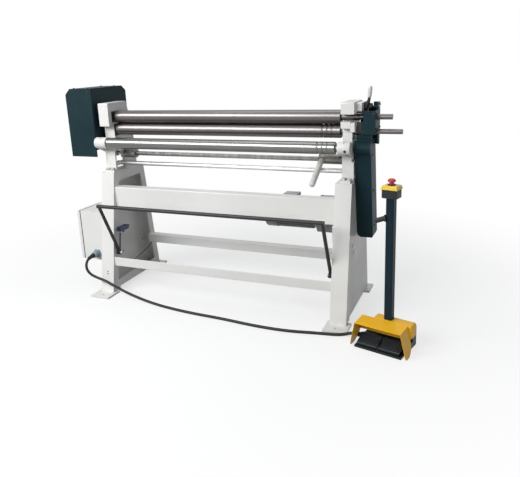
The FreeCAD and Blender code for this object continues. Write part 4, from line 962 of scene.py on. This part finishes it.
stacks("post_grip", [(on_unit(-11, 22, 600), unit_way(-32, -6, -12), ribs)], black_plastic,
       "frame")
print("stop button and post handle turned")

# %% [markdown]
# ## The foot guard
#
# The yellow guard is one folded hood: a sloping roof over both pedals, a back, and two cheeks that
# spread towards the floor and end in rounded tips.  It starts as a thin skin from the corners of
# one cheek.  A housing stands behind it under the post, and the pedals get raised tread bars with
# a divider between them.

# %% Foot guard
ROOF, HALF_WIDTH, SPREAD, TREAD_BARS = 120, 110, 26, 6
CHEEK = [(-72, ROOF), (10, 129), (12, 60), (10, 38), (0, 22), (-12, 9), (-24, 2.4), (-32, 0.8),
         (-54, 0.6), (-61, 3), (-65, 10), (-68, 40)]
mesh = bmesh.new()
cheeks = []
for side in (-1, 1):
    corners = [mesh.verts.new(on_unit(side * (HALF_WIDTH + SPREAD * max(0.0, 1 - z / ROOF)), y, z))
               for y, z in CHEEK]
    mesh.faces.new(corners if side > 0 else corners[::-1])
    cheeks.append(corners)
for j in (0, 1):
    mesh.faces.new((cheeks[0][j], cheeks[0][j + 1], cheeks[1][j + 1], cheeks[1][j]))
folded(new_piece("foot_guard", mesh, yellow_coat, "frame", ("pedal_guard",)), 4,
       sheet=2.2)
housing = [(66, -58, 127, 11, 72), (112, -58, 126, 11, 71), (128, -58, 123, 11, 64)]
towers("foot_housing", [housing], yellow_coat, "frame", "yellow_paint", 5, UNIT, ("pedal_housing",))
plates("pedal_divider", [(-3, 3, -64, -12, 9, 47)], black_plastic, "frame", "black_plastic", 2, UNIT)
TREAD = Matrix.Translation((0, -0.062, 0.028)) @ Matrix.Rotation(math.radians(21.4), 4, "X")
for side, x0, x1 in (("left", -95, -11), ("right", 11, 95)):
    bars = [(x0, x1, 6 + 8 * k, 8.6 + 8 * k, -0.6, 1.6) for k in range(TREAD_BARS)]
    plates("%s_pedal_treads" % side, bars, black_plastic, "pedal_" + side, "black_plastic", 0.5,
           UNIT @ TREAD)
print("foot guard folded")

# %% [markdown]
# ## Cable ends
#
# Where the cable leaves a housing a ribbed, tapering sleeve keeps it from kinking.  The sleeve has
# to follow the cable, so its centre points are read from the same NURBS line that draws it.

# %% Gland and sleeves
WALK, RIB_PITCH, RIB_HEIGHT, GLAND_RIBS = 0.0015, 0.0035, 0.0007, 9


def line_points(points):
    """The points of the cable's centre line, read from a curve without thickness."""
    line = nurbs("cable_line", points, 0.0)
    data = bpy.data.meshes.new_from_object(line)
    centre = [v.co.copy() for v in data.vertices]
    bpy.data.objects.remove(line)
    return centre


def sleeve(name, centre, length, thick, thin):
    """A ribbed sleeve of a length in metres that tapers along the start of a line of points."""
    points, radii, travelled = [centre[0]], [thick], 0.0
    for start, end in zip(centre, centre[1:]):
        pieces = max(1, round((end - start).length / WALK))
        for k in range(1, pieces + 1):
            travelled += (end - start).length / pieces
            if travelled > length:
                break
            points.append(start.lerp(end, k / pieces))
            rib = RIB_HEIGHT if int(travelled / RIB_PITCH) % 2 else 0.0
            radii.append(thick + (thin - thick) * travelled / length + rib)
    mesh = bmesh.new()
    sweep(mesh, points, radii)
    new_piece(name, mesh, rubber, "frame")


centre = line_points(route)
sleeve("gland_sleeve", centre, 0.046, 0.0125, 0.0086)
sleeve("foot_sleeve", centre[::-1], 0.042, 0.0118, 0.0086)
nut = [(0, 25, "hex"), (1, 26.4, "hex"), (9, 26.4, "hex"), (10, 24), (10, 19.5)]
for k in range(GLAND_RIBS):
    crest, root = 20.6 - 0.35 * k, 19.6 - 0.4 * k
    nut += [(11 + 3 * k, crest), (12.6 + 3 * k, crest), (12.9 + 3 * k, root)]
nut += [(39, 15.5), (40.5, 13.2), (40.5, 7.8)]
stacks("gland_nut", [(mm(-797, -111, 206), FRONT, nut)], grey_plastic, "frame",
       ("cable_gland",))
print("cable sleeves from", len(centre), "centre points")

# %% [markdown]
# ## The drive chain
#
# A roller chain is two rows of plates joined by rollers, along two straight runs and two half
# circles round the sprockets.  Wide and narrow pairs of plates take turns, as on a real chain.

# %% Roller chain
PATH_RADIUS, LINKS, CHAIN_X = 33.17, 66, 786
LINK_END, WAIST, SHOULDER, PLATE_THICK = 3.6, 2.9, 3.9, 1.4
LOW_AXIS, HIGH_AXIS = Vector((0, 60, 520)), Vector((0, *LOWER_AXIS))
chain_rise = (HIGH_AXIS - LOW_AXIS).normalized()
chain_out = Vector((0, chain_rise.z, -chain_rise.y))
run, half_turn = (HIGH_AXIS - LOW_AXIS).length, math.pi * PATH_RADIUS


def chain_point(distance):
    """A point of the chain's path, in mm, at a distance along it."""
    distance %= 2 * (run + half_turn)
    if distance < run + half_turn:
        start, out, way = LOW_AXIS, chain_out, chain_rise
    else:
        start, out, way = HIGH_AXIS, -chain_out, -chain_rise
    distance %= run + half_turn
    if distance < run:
        return start + out * PATH_RADIUS + way * distance
    angle = (distance - run) / PATH_RADIUS
    return start + way * run + (out * math.cos(angle) + way * math.sin(angle)) * PATH_RADIUS


mesh = bmesh.new()
roller = [(0, 1.8), (2, 1.8), (3, 4.6), (12, 4.6), (13, 1.8), (15.2, 1.8)]
pins = [chain_point(2 * (run + half_turn) * k / LINKS) for k in range(LINKS)]
for k, (here, there) in enumerate(zip(pins, pins[1:] + pins[:1])):
    stack(mesh, mm(CHAIN_X - 7.6, here.y, here.z), RIGHT, roller, 10)
    along, middle = (there - here).normalized(), (here + there) / 2
    side_way = along.cross(Vector(RIGHT))
    outline = [here - along * LINK_END, here + side_way * SHOULDER, middle + side_way * WAIST,
               there + side_way * SHOULDER, there + along * LINK_END, there - side_way * SHOULDER,
               middle - side_way * WAIST, here - side_way * SHOULDER]
    for x in ((-6.6, 5.2) if k % 2 else (-5.2, 3.8)):
        join_rings(mesh, [[mesh.verts.new(mm(CHAIN_X + x + t, p.y, p.z)) for p in outline]
                          for t in (0, PLATE_THICK)])
new_piece("roller_chain", mesh, gear_steel, "frame", ("drive_chain",))
print("chain of", LINKS, "links")

# %% [markdown]
# ## Gear unit and motor
#
# The gear unit has a breather, a sight glass and a drain plug, the output bearing and the
# terminal box have their screws, and the fan cowl ends in a grille of rings.  The trip bar turns
# on a bolt at each end.

# %% Drive details
bolts = [(mm(744, LOW_AXIS.y + y, LOW_AXIS.z + z), RIGHT, bolt_rings(13, 6, (9, 1.5)))
         for y in (-25, 25) for z in (-25, 25)]
bolts += [(mm(633, y, z), LEFT, bolt_rings(13, 7, (10, 1.6)))
          for y, z in ((165, 440), (165, 570), (-60, 450))]
bolts += [(mm(x, y, 594), UP, bolt_rings(7, 2.5)) for x in (338, 398) for y in (38, 98)]
bolts += [(mm(x, -30, z), FRONT, bolt_rings(10, 4, (8, 1.2)))
          for x in (532, 620) for z in (490, 550)]
stacks("drive_bolts", bolts, zinc, "frame")
breather = [(0, 9, "hex"), (6, 9, "hex"), (6, 5), (10, 5), (10, 8), (16, 8), (18, 5)]
sight_glass = [(0, 12), (3, 12), (4, 11), (4, 8), (2.4, 7.6), (2.4, 1)]
plugs = [(mm(545, 30, 582), UP, breather), (mm(575, -30, 515), FRONT, sight_glass),
         (mm(560, 60, 408), DOWN, bolt_rings(17, 6))]
stacks("gear_unit_plugs", plugs, dark_iron, "frame")
grille = [(0, 79)]
for radius in range(78, 22, -11):
    grille += [(3, radius), (3, radius - 4), (0.8, radius - 4.4), (0.8, radius - 10.6)]
grille += [(3, 11), (4, 9)]
stacks("fan_grille", [(mm(243, 68, 490), LEFT, grille)], motor_coat, "frame")
trip_pins = [(mm(side * 618.6, -109, 232), (-side, 0, 0), bolt_rings(13, 5)) for side in (-1, 1)]
stacks("trip_bar_bolts", trip_pins, black_coat, "frame")
print("drive screws", len(bolts))

# %% [markdown]
# ## The lower front rail and the left web
#
# In the picture the lower front rail shows a face and no top, so it is drawn as a steel angle: an
# upright leg with a short leg along its foot.  The left web has a plugged hole, a thin lead
# clipped across it, and two small screws low on the stand's front.

# %% Rail and web
RAIL_X, WEB_X, LEAD_RADIUS = 642.8, -640.5, 0.0021
angle = [(-RAIL_X, RAIL_X, -160, -154.5, 162, 213), (-RAIL_X, RAIL_X, -154.5, -120, 162, 167.5)]
plates("lower_front_angle", angle, frame_enamel, "frame", "frame_white", 1.6,
       replaces=("lower_front_rail",))
plugs = [(mm(-643, 131, 233), RIGHT, [(0, 4.5), (0.8, 4.5), (1.4, 3.6)])]
slope = Vector((0, -1, -0.16)).normalized()
plugs += [(mm(-683, -82 - 118 * (690 - z) / 680, z), slope, [(-1, 4), (0.9, 4), (1.5, 3)])
          for z in (128, 114)]
stacks("stand_plugs", plugs, dark_iron, "frame")
lead = [(262, 205), (246, 190), (190, 166), (120, 151), (52, 137), (-30, 128), (-100, 150), (-128, 172)]
mesh = bmesh.new()
points = line_points([mm(WEB_X, y, z) for y, z in lead])
sweep(mesh, points, [LEAD_RADIUS] * len(points), 8)
new_piece("web_lead", mesh, rubber, "frame")
print("rail and web dressed")
